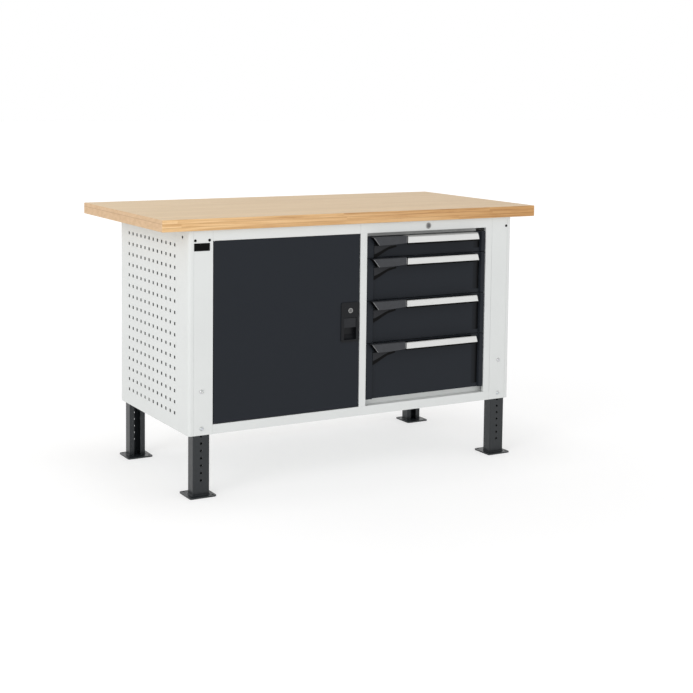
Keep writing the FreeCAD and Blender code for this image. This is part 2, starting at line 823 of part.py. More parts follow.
def make_latch_housing():
    """A plastic plate with a finger recess and the boss of the key cylinder."""
    plate_x = (door_right - 74, door_right - 2)
    box_x = latch_box_x(0)
    box_z = (recess_bottom - 4, recess_top + 4)
    inner_x = (box_x[0] + 3, box_x[1] - 3)
    body = new_body("door_latch_housing")
    plate_z = (latch_plate_bottom, latch_plate_top)
    pad(body, "XZ_Plane", lambda s: rectangle(s, plate_x, plate_z), door_front - 3, door_front, "Plate")

    def plate_corner(edge):
        ends = [vertex.Point for vertex in edge.Vertexes]
        return len(ends) == 2 and abs(ends[0].y - ends[1].y) > 0.5

    fillet(body, plate_corner, 8)
    pad(body, "XZ_Plane", lambda s: rectangle(s, box_x, box_z), door_front, door_back - 3, "RecessBox")
    boss = lambda s: circle(s, (key_x, key_height), key_radius + 3)
    pad(body, "XZ_Plane", boss, door_front, door_back - 3, "KeyBoss")
    opening = lambda s: rectangle(s, inner_x, (recess_bottom, recess_top))
    pocket(body, "XZ_Plane", opening, door_front - 3, door_back - 5, "Recess")
    bore = lambda s: circle(s, (key_x, key_height), key_radius + running_clearance)
    pocket(body, "XZ_Plane", bore, door_front - 3, door_back - 3, "KeyBore")
    pin_bore = lambda s: circle(s, paddle_axis(), 1.5 + running_clearance)
    pocket(body, "YZ_Plane", pin_bore, inner_x[0] - 2.5, inner_x[1] + 2.5, "PaddlePivot")
    return node("door_latch_housing", body)


def paddle_axis():
    """Y and Z of the paddle's pivot."""
    return (door_front + 1, recess_top - 4.5)


def make_latch_paddle():
    """The flap that the fingers pull from below."""
    axis_y, axis_z = paddle_axis()
    inner_x = (latch_box_x(0)[0] + 3, latch_box_x(0)[1] - 3)
    front = door_front - 1
    body = new_body("door_latch_paddle")
    profile = [
        (front, paddle_bottom), (front + 4.5, paddle_bottom), (front + 4.5, paddle_bottom + 5),
        (front + 3, paddle_bottom + 7), (front + 3.5, recess_top - 1.5), (front, recess_top - 1.5),
    ]
    pad(body, "YZ_Plane", lambda s: outline(s, profile), inner_x[0] + 0.5, inner_x[1] - 0.5)
    pin = lambda s: circle(s, (axis_y, axis_z), 1.5)
    pad(body, "YZ_Plane", pin, inner_x[0] - 2, inner_x[1] + 2, "Pin")
    return node("door_latch_paddle", body)


def make_latch_bolt():
    """A slanted bolt that shows in the door's edge."""
    x_end = door_right - 0.4
    profile = [
        (x_end - 30, bolt_y()[0]), (x_end - 5, bolt_y()[0]), (x_end, bolt_y()[0] + 5),
        (x_end, bolt_y()[1]), (x_end - 30, bolt_y()[1]),
    ]
    body = new_body("door_latch_bolt")
    pad(body, "XY_Plane", lambda s: outline(s, profile), *bolt_z())
    return node("door_latch_bolt", body)


def make_key_cylinder():
    """The door's key plug with a keyway, and the cam behind the door."""
    front = door_front - 4
    cam_front = door_back + 1
    plug = round_bar("key_plug", "y", (key_x, front, key_height), cam_front - front, key_radius)
    keyway_y = (front, front + 3)
    keyway = block("keyway", (key_x - 0.6, key_x + 0.6), keyway_y, (key_height - 3.5, key_height + 3.5))
    cam_z = (key_height - 5, key_height + 42)
    cam = block("key_cam", (key_x - 5, key_x + 5), (cam_front, cam_front + 2), cam_z)
    solid = joined("key_solid", [plug, cam])
    return node("door_key_cylinder", cut("door_key_cylinder_cut", solid, [keyway]))


# -------------------------------------------------------------- drawer lock

def make_drawer_lock_housing():
    front = body_front - 2
    back = body_front + 13
    flange = round_bar("lock_flange", "y", (drawers_middle, front, lock_height), 2, lock_radius + 4)
    barrel_start = (drawers_middle, body_front, lock_height)
    barrel = round_bar("lock_barrel", "y", barrel_start, back - body_front, lock_radius + 2.5)
    bore_start = (drawers_middle, front, lock_height)
    bore = round_bar("lock_bore", "y", bore_start, back - front, lock_radius + running_clearance)
    solid = joined("lock_housing_solid", [flange, barrel])
    return node("drawer_lock_housing", cut("drawer_lock_housing_cut", solid, [bore]))


def make_drawer_lock_cylinder():
    """The key plug, with a disc and an eccentric peg that moves the lock bar."""
    front = body_front - 3
    disc_front = body_front + 13.3
    arm_front, arm_back = lock_bar_y()
    start = (drawers_middle, front, lock_height)
    plug = round_bar("lock_plug", "y", start, disc_front - front, lock_radius)
    disc_start = (drawers_middle, disc_front, lock_height)
    disc = round_bar("lock_disc", "y", disc_start, 2, lock_throw + 2.5)
    peg_start = (drawers_middle + lock_throw, disc_front, lock_height)
    peg = round_bar("lock_peg", "y", peg_start, arm_back + 0.5 - disc_front, 1.5)
    keyway_z = (lock_height - 4, lock_height + 4)
    keyway = block("lock_keyway", (drawers_middle - 0.7, drawers_middle + 0.7), (front, front + 3), keyway_z)
    solid = joined("lock_cylinder_solid", [plug, disc, peg])
    return node("drawer_lock_cylinder", cut("drawer_lock_cylinder_cut", solid, [keyway]))


def lock_bar_y():
    return (body_front + 17, body_front + 20)


def make_lock_bar():
    """A flat bar against the housing wall with a hook for each drawer and an arm to the lock."""
    wall = right_wall_inner
    arm_z = (lock_height - 7, lock_height + 7)
    arm_y = lock_bar_y()
    flat_x = (wall - 4.2, wall - 0.7)
    flat_y = (arm_y[0] - 3, arm_y[1] + 5)
    pieces = [
        block("lock_bar_flat", flat_x, flat_y, (floor_height + 5, arm_z[1])),
        block("lock_bar_arm", (drawers_middle - 6, flat_x[1]), arm_y, arm_z),
    ]
    for number, (bottom, top) in enumerate(drawer_levels(), start=1):
        height = lock_tab_height(top)
        hook_x = (drawer_right - 3, flat_x[0])
        pieces.append(block(f"lock_hook_{number}", hook_x, arm_y, (height + 4, height + 12)))
    slot_x = (drawers_middle - 2.5, drawers_middle + lock_throw + 2.5)
    slot = block("lock_arm_slot", slot_x, arm_y, (lock_height - 3.5, lock_height + 3.5))
    bar = joined("lock_bar_solid", pieces)
    return node("drawer_lock_bar", cut("drawer_lock_bar_cut", bar, [slot]))


def lock_tab_height(drawer_top):
    return drawer_top - 23


# ------------------------------------------------------------------ drawers

def drawer_levels():
    """Bottom and top of each drawer front, from the top down."""
    levels = []
    top = drawer_stack_top
    for height in drawer_heights:
        levels.append((top - height, top))
        top = top - height - drawer_gap
    return levels


def slide_sides():
    """Wall face and inward direction for the two sides of the drawer housing."""
    return {"left": (left_wall_inner, 1), "right": (right_wall_inner, -1)}


def inward(face, sign, near_end, far_end):
    """An X interval measured from a housing wall towards the drawers."""
    near_end, far_end = size(near_end), size(far_end)
    ends = (face + near_end * sign, face + far_end * sign)
    return ends if sign > 0 else ends[::-1]


def channel(name, face, sign, web, flanges, y, middle):
    """A C channel lying along Y: a web and two flanges, given by their distance from the wall."""
    low, high = middle - rail_height / 2, middle + rail_height / 2
    pieces = [
        block(f"{name}_web", inward(face, sign, *web), y, (low, high)),
        block(f"{name}_lower", inward(face, sign, *flanges), y, (low, low + sheet)),
        block(f"{name}_upper", inward(face, sign, *flanges), y, (high - sheet, high)),
    ]
    return joined(name, pieces)


def rail_span():
    start = body_front + 33
    return (start, start + rail_length)


def rail_middle(bottom):
    return bottom + 28


def make_cabinet_slide_rails():
    """The fixed members of the four pairs of telescopic slides, each on two spacer brackets."""
    start, end = rail_span()
    web = (rail_reach, rail_reach + sheet)
    flanges = (rail_reach, rail_reach + 10.8)
    rails = []
    for number, (bottom, top) in enumerate(drawer_levels(), start=1):
        middle = rail_middle(bottom)
        for side, (face, sign) in slide_sides().items():
            name = f"cabinet_rail_{number}_{side}"
            pieces = [channel(f"{name}_channel", face, sign, web, flanges, (start, end), middle)]
            for place, y in (("front", start + 20), ("rear", end - 50)):
                x = inward(face, sign, 0, rail_reach)
                pieces.append(block(f"{name}_{place}_bracket", x, (y, y + 30), (middle - 15, middle + 15)))
            rails.append(joined(name, pieces))
    return node("cabinet_slide_rails", grouped("cabinet_slide_rail_group", rails))


def make_middle_rails(number, bottom):
    """The travelling members: two uprights joined by a web, one running in each channel."""
    height = rail_middle(bottom)
    tall = (height - rail_height / 2 + 3, height + rail_height / 2 - 3)
    outer = rail_reach + 3.3
    inner = rail_reach + slide_width - 5
    members = []
    for side, (face, sign) in slide_sides().items():
        name = f"middle_{number}_{side}"
        web_z = (height - sheet, height + sheet)
        pieces = [
            block(f"{name}_outer", inward(face, sign, outer, outer + sheet), rail_span(), tall),
            block(f"{name}_web", inward(face, sign, outer + sheet, inner), rail_span(), web_z),
            block(f"{name}_inner", inward(face, sign, inner, inner + sheet), rail_span(), tall),
        ]
        members.append(joined(name, pieces))
    return node(f"drawer_{number}_middle_rails", grouped(f"middle_{number}_group", members))


def make_runners(number, bottom):
    """The slide members fixed to the drawer's sides."""
    box_side = rail_reach + slide_width
    web = (box_side - sheet, box_side)
    flanges = (box_side - 7.2, box_side)
    runners = []
    for side, (face, sign) in slide_sides().items():
        name = f"runner_{number}_{side}"
        runners.append(channel(name, face, sign, web, flanges, rail_span(), rail_middle(bottom)))
    return node(f"drawer_{number}_runners", grouped(f"runner_{number}_group", runners))


def make_drawer_box(number, bottom, top):
    """A folded steel tray with a tab for the lock bar's hook."""
    body = new_body(f"drawer_{number}_box")
    x = (box_left, box_right)
    y = (drawer_back_plane, drawer_back_plane + drawer_depth)
    z = (bottom + 5, top - 12)
    pad(body, "XY_Plane", lambda s: rectangle(s, x, y), *z, "Box")
    tab_x = (box_right - 1, drawer_right)
    tab_y = (lock_bar_y()[1] + 4, lock_bar_y()[1] + 6)
    tab_z = (lock_tab_height(top) - 3, lock_tab_height(top) + 3)
    pad(body, "XY_Plane", lambda s: rectangle(s, tab_x, tab_y), *tab_z, "LockTab")

    def hollow(sketch):
        inside_x = (x[0] + drawer_sheet, x[1] - drawer_sheet)
        rectangle(sketch, inside_x, (y[0] + drawer_sheet, y[1] - drawer_sheet))

    pocket(body, "XY_Plane", hollow, z[0] + drawer_sheet, z[1], "Inside")
    return node(f"drawer_{number}_box", body)


def catch_axis(top):
    """Y and Z of the catch lever's pivot."""
    return (drawer_front_face + 3, top - 37)


def make_drawer_front(number, bottom, top):
    """A recessed panel between two upright columns, with a shallow groove beside the right one."""
    body = new_body(f"drawer_{number}_front")
    face = drawer_front_face
    back = drawer_back_plane
    panel = back - panel_thickness
    bevel = 2
    left_column = drawer_left + column_width
    right_column = drawer_right - right_column_width
    profile = [
        (drawer_left, back), (drawer_left, face + bevel), (drawer_left + bevel, face),
        (left_column - bevel, face), (left_column, face + bevel), (left_column, panel),
        (right_column, panel), (right_column + bevel, face + bevel), (right_column + bevel * 2, face),
        (drawer_right - bevel, face), (drawer_right, face + bevel), (drawer_right, back),
    ]
    pad(body, "XY_Plane", lambda s: outline(s, profile), bottom, top)
    groove = [(right_column - groove_width, panel), (right_column, panel), (right_column, back - sheet / 2)]
    low, high = bottom + groove_end_gap, top - bar_height - 4
    pocket(body, "XY_Plane", lambda s: outline(s, groove), low, high, "SlopedGroove")
    bore = lambda s: circle(s, catch_axis(top), 1.5 + running_clearance)
    pocket(body, "YZ_Plane", bore, left_column - 9, left_column, "CatchBore")
    return node(f"drawer_{number}_front", body)


def make_handle_bar(number, top):
    """An extruded aluminium grip, open below for the fingers, with a raked right end."""
    body = new_body(f"drawer_{number}_handle_bar")
    front = handle_front
    panel = drawer_back_plane - 3
    wall = 3
    nose = 4
    low = top - bar_height
    profile = [
        (panel, top - 1), (front + nose, top - 1), (front, top - 1 - nose), (front, low),
        (front + wall, low), (front + wall, top - nose - 2), (front + nose + 1.2, top - 1 - wall),
        (panel, top - 1 - wall),
    ]
    pad(body, "YZ_Plane", lambda s: outline(s, profile), bar_left, bar_right)

    def rake(sketch):
        tip = bar_right + 1
        outline(sketch, [(tip, low - 1), (tip, top + 1), (bar_right - 7, top + 1), (bar_right, low)])

    pocket(body, "XZ_Plane", rake, name="Rake")
    return node(f"drawer_{number}_handle_bar", body)


def make_grip(number, top):
    """The plastic end piece left of the bar, with a raked end and a swept underside."""
    body = new_body(f"drawer_{number}_grip")
    left = drawer_left + 11
    right = bar_left - seam
    profile = [
        (left, top - 1), (left + 25, top - 31), (left + 55, top - 30.5), (left + 90, top - 29.5),
        (left + 120, top - 27.5), (right, top - bar_height), (right, top - 1),
    ]
    pad(body, "XZ_Plane", lambda s: outline(s, profile), handle_front, drawer_front_face)

    def front_edge(edge):
        return all(near(vertex.Point.y, handle_front) for vertex in edge.Vertexes)

    fillet(body, front_edge, edge_round)
    return node(f"drawer_{number}_grip", body)


def make_catch_lever(number, top):
    """The thumb plate of the safety catch, hinged in the left column."""
    body = new_body(f"drawer_{number}_catch_lever")
    column = drawer_left + column_width
    y, z = catch_axis(top)
    profile = [
        (column + 1, top - 34), (column + 96, top - 34), (column + 64, top - 38), (column + 46, top - 45),
        (column + 24, top - 55), (column + 9, top - 61), (column + 1, top - 63),
    ]
    pad(body, "XZ_Plane", lambda s: outline(s, profile), y - 2, y + 2)
    pin = lambda s: circle(s, (y, z), 1.5)
    pad(body, "YZ_Plane", pin, column - 8, column + 2, "Pin")
    return node(f"drawer_{number}_catch_lever", body)


# ---------------------------------------------------------------- assembly

def make_static_parts():
    make_worktop()
    make_side_panel("left_side_panel", -1)
    make_side_panel("right_side_panel", 1)
    make_leg_sleeves()
    make_leg_clamp_screws()
    make_cupboard_top_rail()
    make_drawer_top_rail()
    make_front_bottom_rail()
    make_drawer_wall("drawer_left_wall", -1)
    make_drawer_wall("drawer_right_wall", 1)
    make_cupboard_left_wall()
    make_floor_panels()
    make_back_panel()
    make_shelf()
    make_shelf_pegs()
    make_cabinet_slide_rails()
    make_name_plate()
    make_door_hinge_pins()
    make_drawer_lock_housing()


def make_moving_parts():
    for corner, (side, end) in CORNERS.items():
        make_leg(corner, side, end)
    make_door_panel()
    make_door_inner_panel()
    make_door_hinge_sleeves()
    make_latch_housing()
    make_latch_paddle()
    make_latch_bolt()
    make_key_cylinder()
    make_drawer_lock_cylinder()
    make_lock_bar()
    for number, (bottom, top) in enumerate(drawer_levels(), start=1):
        make_drawer_box(number, bottom, top)
        make_drawer_front(number, bottom, top)
        make_handle_bar(number, top)
        make_grip(number, top)
        make_catch_lever(number, top)
        make_runners(number, bottom)
        make_middle_rails(number, bottom)


def check_document():
    """Stop if any object failed, or if a sub-part is empty or not valid."""
    for item in doc.Objects:
        if "Invalid" in item.State or "Error" in item.State:
            raise RuntimeError(f"{item.Label} failed: {item.State}")
    for item in nodes:
        shape = item.Shape
        if shape.isNull() or not shape.isValid() or not shape.Solids:
            raise RuntimeError(f"{item.Label} has no valid solid")


def export_parts():
    os.makedirs("parts", exist_ok=True)
    for item in nodes:
        item.Shape.exportStep(f"parts/{item.Label}.step")
    print(f"{len(nodes)} sub-parts written")


make_static_parts()
make_moving_parts()
doc.recompute()
check_document()
export_parts()
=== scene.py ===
import json
import math
import bmesh
import bpy
from mathutils import Matrix, Vector


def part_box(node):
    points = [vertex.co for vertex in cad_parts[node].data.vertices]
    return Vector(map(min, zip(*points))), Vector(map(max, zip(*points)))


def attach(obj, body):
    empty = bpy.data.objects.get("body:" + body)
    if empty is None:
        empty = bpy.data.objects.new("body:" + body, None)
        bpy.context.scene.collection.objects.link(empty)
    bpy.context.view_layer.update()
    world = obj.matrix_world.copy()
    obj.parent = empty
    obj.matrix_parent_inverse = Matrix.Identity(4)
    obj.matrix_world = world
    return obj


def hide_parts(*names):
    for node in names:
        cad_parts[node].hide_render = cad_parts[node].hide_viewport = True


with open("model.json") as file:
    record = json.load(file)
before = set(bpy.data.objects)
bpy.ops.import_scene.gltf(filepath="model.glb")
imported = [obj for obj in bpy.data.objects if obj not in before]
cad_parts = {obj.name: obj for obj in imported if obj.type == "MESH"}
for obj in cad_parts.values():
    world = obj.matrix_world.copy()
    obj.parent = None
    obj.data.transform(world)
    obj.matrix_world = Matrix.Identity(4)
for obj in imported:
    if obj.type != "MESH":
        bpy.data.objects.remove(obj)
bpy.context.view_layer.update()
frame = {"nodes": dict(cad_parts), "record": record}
cad = frame["nodes"]
MM = 0.001

# the square perforation of the sides: columns from the back face, rows from the bottom edge
PITCH = 38 * MM
HOLE_COLUMNS, HOLE_ROWS = 12, 16
FIRST_COLUMN_FROM_BACK = 85 * MM
FIRST_ROW_FROM_BOTTOM = 57 * MM
HALF_HOLE = 5 * MM
# margins of the field of holes from the front, back, bottom and top edges of the sheet
HOLE_FIELD = (60 * MM, 40 * MM, 30 * MM, 12 * MM)
# a whole number of pitches and a half, so that the middle of a hole lies half way through a step
STEP_OFFSET = 9.5
# the painted shade round each hole, a dark rim: where it starts to fade and where it ends, how strong and how
# dark it is
RIM_START, RIM_END = HALF_HOLE + 0.2 * MM, HALF_HOLE + 1.0 * MM
RIM_SHADE_STRENGTH, RIM_SHADE_TONE = 0.85, 0.15

# the sloped groove beside the right column of a drawer front
RIGHT_COLUMN = 20 * MM
GROOVE_WIDTH = 28 * MM
# how far the face normal leans sideways on the groove's slope
FLATTEST_SLOPE, STEEPEST_SLOPE = 0.04, 0.3


# ------------------------------------------------------------ material kit

class Shader:
    """A Principled material with short calls for the procedural nodes it needs."""

    def __init__(self, name, colour, roughness, metallic=0.0, specular=0.5):
        self.material = bpy.data.materials.new(name)
        self.material.use_nodes = True
        self.material.diffuse_color = (*colour, 1)
        self.nodes = self.material.node_tree.nodes
        self.links = self.material.node_tree.links
        self.surface = self.nodes["Principled BSDF"]
        self.set(Base_Color=(*colour, 1), Roughness=roughness, Metallic=metallic, Specular_IOR_Level=specular)
        self.place = self.nodes.new("ShaderNodeTexCoord").outputs["Object"]

    def set(self, **values):
        """Feeds a node or a constant to each named input of the surface."""
        for key, value in values.items():
            socket = self.surface.inputs[key.replace("_", " ")]
            if isinstance(value, bpy.types.NodeSocket):
                self.links.new(value, socket)
            else:
                socket.default_value = value

    def _feed(self, node, index, value):
        """Feeds a node or a constant to one input of a node."""
        if isinstance(value, bpy.types.NodeSocket):
            self.links.new(value, node.inputs[index])
        elif value is not None:
            node.inputs[index].default_value = value

    def stretch(self, scale):
        """Object coordinates scaled along each axis, which squeezes a texture along it."""
        node = self.nodes.new("ShaderNodeMapping")
        self.links.new(self.place, node.inputs["Vector"])
        node.inputs["Scale"].default_value = scale
        return node.outputs["Vector"]

    def noise(self, vector, scale, detail=2.0, roughness=0.5, distortion=0.0):
        """Smooth noise with about scale patches per metre."""
        node = self.nodes.new("ShaderNodeTexNoise")
        self.links.new(vector, node.inputs["Vector"])
        node.inputs["Scale"].default_value = scale
        node.inputs["Detail"].default_value = detail
        node.inputs["Roughness"].default_value = roughness
        node.inputs["Distortion"].default_value = distortion
        return node.outputs["Fac"]

    def cells(self, vector, scale, output="Distance"):
        """A pattern of cells, about scale per metre."""
        node = self.nodes.new("ShaderNodeTexVoronoi")
        self.links.new(vector, node.inputs["Vector"])
        node.inputs["Scale"].default_value = scale
        return node.outputs[output]

    def random(self, *parts):
        """One steady random number for each set of parts."""
        join = self.nodes.new("ShaderNodeCombineXYZ")
        for index, part in enumerate(parts):
            self._feed(join, index, part)
        node = self.nodes.new("ShaderNodeTexWhiteNoise")
        self.links.new(join.outputs[0], node.inputs["Vector"])
        return node.outputs["Value"]

    def split(self, vector):
        """The x, y and z of a vector."""
        node = self.nodes.new("ShaderNodeSeparateXYZ")
        self.links.new(vector, node.inputs[0])
        return node.outputs

    def math(self, operation, a, b=None):
        """One step of arithmetic on nodes or constants."""
        node = self.nodes.new("ShaderNodeMath")
        node.operation = operation
        for index, value in enumerate((a, b)):
            self._feed(node, index, value)
        return node.outputs[0]

    def remap(self, value, low, high, to_low, to_high):
        """low..high moved to to_low..to_high, and held at the ends."""
        node = self.nodes.new("ShaderNodeMapRange")
        for index, part in enumerate((value, low, high, to_low, to_high)):
            self._feed(node, index, part)
        return node.outputs[0]

    def ramp(self, value, stops):
        """A colour for each value, through (position, colour) stops."""
        node = self.nodes.new("ShaderNodeValToRGB")
        self._feed(node, 0, value)
        ramp = node.color_ramp
        while len(ramp.elements) < len(stops):
            ramp.elements.new(0.5)
        for element, (position, colour) in zip(ramp.elements, stops):
            element.position = position
            element.color = (*colour, 1)
        return node.outputs["Color"]

    def blend(self, factor, a, b, kind="MIX"):
        """Colour b laid over colour a by factor."""
        node = self.nodes.new("ShaderNodeMix")
        node.data_type = "RGBA"
        node.blend_type = kind
        self._feed(node, 0, factor)
        for index, value in ((6, a), (7, b)):
            self._feed(node, index, value if isinstance(value, bpy.types.NodeSocket) else (*value, 1))
        return node.outputs[2]

    def bump(self, height, strength, distance, under=None):
        """A normal for a fine relief of at most distance metres, over another normal if one is given."""
        node = self.nodes.new("ShaderNodeBump")
        node.inputs["Strength"].default_value = strength
        node.inputs["Distance"].default_value = distance
        self.links.new(height, node.inputs["Height"])
        if under is not None:
            self.links.new(under, node.inputs["Normal"])
        return node.outputs["Normal"]


def scaled(colour, factor):
    """A colour made darker or lighter by a factor."""
    return tuple(channel * factor for channel in colour)


def within(shader, factor, value, low, high):
    """factor where value lies between low and high, and nothing elsewhere."""
    factor = shader.math("MULTIPLY", factor, shader.math("GREATER_THAN", value, low))
    return shader.math("MULTIPLY", factor, shader.math("LESS_THAN", value, high))


def true_normal(shader):
    """The x, y and z of the real face normal, without smoothing."""
    return shader.split(shader.nodes.new("ShaderNodeNewGeometry").outputs["True Normal"])


def paint_hole_shade(shader, tone, colour, wall_shade_factor):
    """Paints shade onto the walls of the punched squares and onto a rim of up to 1 mm round each."""
    low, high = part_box("left_side_panel")
    y, z = shader.split(shader.place)[1:3]

    # painted shade on the walls of the holes: faces that don't look sideways, kept clear of the folds at the
    # edges of the sheet
    front, back, bottom, top = HOLE_FIELD
    looks_sideways = 0.6
    walls = shader.math("LESS_THAN", shader.math("ABSOLUTE", true_normal(shader)[0]), looks_sideways)
    walls = within(shader, walls, y, low.y + front, high.y - back)
    walls = within(shader, walls, z, low.z + bottom, high.z - top)
    tone = shader.blend(walls, tone, scaled(colour, wall_shade_factor))

    # the distance to the nearest hole's middle, in pitches, is the larger of the two along y and z
    first_column, first_row = high.y - FIRST_COLUMN_FROM_BACK, low.z + FIRST_ROW_FROM_BOTTOM
    last_column = first_column - (HOLE_COLUMNS - 1) * PITCH
    last_row = first_row + (HOLE_ROWS - 1) * PITCH
    aways = []
    for value, first in ((y, first_column), (z, first_row)):
        distance = shader.math("SUBTRACT", value, first - STEP_OFFSET * PITCH)
        steps = shader.math("DIVIDE", distance, PITCH)
        aways.append(shader.math("ABSOLUTE", shader.math("SUBTRACT", shader.math("FRACT", steps), 0.5)))
    # a painted shadow rim round each hole, darkest at its edge
    rim = shader.remap(shader.math("MAXIMUM", *aways), RIM_START / PITCH, RIM_END / PITCH, 1.0, 0.0)
    beyond = RIM_END + 1 * MM
    rim = within(shader, rim, y, last_column - beyond, first_column + beyond)
    rim = within(shader, rim, z, first_row - beyond, last_row + beyond)
    return shader.blend(shader.math("MULTIPLY", rim, RIM_SHADE_STRENGTH), tone, scaled(colour, RIM_SHADE_TONE))


def paint_groove_shade(shader, tone):
    """Paints shade into the sloped groove of a drawer front, darker towards its deep side."""
    deep_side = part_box("drawer_1_front")[1].x - RIGHT_COLUMN
    across = shader.remap(shader.split(shader.place)[0], deep_side - GROOVE_WIDTH, deep_side, 0.0, 1.0)
    slope = shader.math("ABSOLUTE", true_normal(shader)[0])
    on_slope = within(shader, 1.0, slope, FLATTEST_SLOPE, STEEPEST_SLOPE)
    # painted shade across the groove, from light at its shallow side to near black at its deep side
    shades = ((0.0, 0.75), (0.55, 0.45), (0.75, 0.14), (1.0, 0.08))
    depth = shader.ramp(across, [(stop, (shade,) * 3) for stop, shade in shades])
    return shader.blend(on_slope, tone, depth, "MULTIPLY")


def powder_coat(name, colour, roughness, specular, hole_wall_shade=None, groove_shade=False):
    """Baked powder paint: a fine orange peel, faint clouds in tone and dust in the gloss.

    hole_wall_shade is for the perforated sheets: the factor of the painted shade on the walls of the punched
    holes, with a painted shadow rim round each hole.
    grooved is for the drawer fronts, whose sloped groove gets painted shade, darker towards its deep side.
    """
    shader = Shader(name, colour, roughness, specular=specular)
    clouds = shader.noise(shader.place, 7, detail=3)
    tone = shader.ramp(clouds, [(0.3, scaled(colour, 0.988)), (0.7, scaled(colour, 1.012))])
    if hole_wall_shade:
        tone = paint_hole_shade(shader, tone, colour, hole_wall_shade)
    if groove_shade:
        tone = paint_groove_shade(shader, tone)
    shader.set(Base_Color=tone)
    smudges = shader.noise(shader.place, 23, detail=4)
    shader.set(Roughness=shader.remap(smudges, 0.3, 0.7, roughness - 0.015, roughness + 0.02))
    peel = shader.noise(shader.place, 420, detail=2)
    speck = shader.noise(shader.place, 1600, detail=1)
    relief = shader.bump(peel, 0.1225, 0.3 * MM)
    shader.set(Normal=shader.bump(speck, 0.0875, 0.1 * MM, relief))
    return shader.material


def moulded_plastic(name, colour, roughness, specular):
    """Injection-moulded plastic with a fine spark-eroded grain."""
    shader = Shader(name, colour, roughness, specular=specular)
    tone = shader.noise(shader.place, 60, detail=3)
    shader.set(Base_Color=shader.ramp(tone, [(0.3, scaled(colour, 0.94)), (0.7, scaled(colour, 1.06))]))
    grain = shader.cells(shader.place, 1500)
    shader.set(Roughness=shader.remap(grain, 0.0, 0.8, roughness - 0.05, roughness + 0.06))
    shader.set(Normal=shader.bump(grain, 0.22, 0.12 * MM))
    return shader.material


def drawn_metal(name, colour, roughness, along, metallic=1.0):
    """Metal with fine lines along the way it was drawn or ground."""
    shader = Shader(name, colour, roughness, metallic=metallic)
    along_line, across_line = 6, 1100
    squeeze = tuple(along_line if axis == along else across_line for axis in range(3))
    lines = shader.noise(shader.stretch(squeeze), 1.0, detail=2)
    clouds = shader.noise(shader.place, 14, detail=2)
    tone = shader.ramp(lines, [(0.25, scaled(colour, 0.95)), (0.75, scaled(colour, 1.04))])
    shade = shader.ramp(clouds, [(0.3, (0.97, 0.97, 0.97)), (0.7, (1, 1, 1))])
    shader.set(Base_Color=shader.blend(1.0, tone, shade, "MULTIPLY"))
    shader.set(Roughness=shader.remap(lines, 0.25, 0.75, roughness - 0.05, roughness + 0.06))
    shader.set(Normal=shader.bump(lines, 0.12, 0.08 * MM))
    return shader.material


def zinc_plate(name, colour, roughness):
    """Bright zinc plating with faint spangle and drawing lines."""
    shader = Shader(name, colour, roughness, metallic=1.0)
    spangle = shader.cells(shader.place, 210, output="Color")
    grey = shader.blend(0.10, colour, spangle, "OVERLAY")
    shader.set(Base_Color=grey)
    lines = shader.noise(shader.stretch((900, 5, 900)), 1.0, detail=2)
    shader.set(Roughness=shader.remap(lines, 0.3, 0.7, roughness - 0.06, roughness + 0.08))
    shader.set(Normal=shader.bump(lines, 0.10, 0.06 * MM))
    return shader.material


# the glued staves of the worktop; each row of them is shifted along by up to STAVE_SHIFT
STAVE_WIDTH, STAVE_LENGTH = 43 * MM, 620 * MM
STAVE_SHIFT = 900 * MM
LAYERS = 3


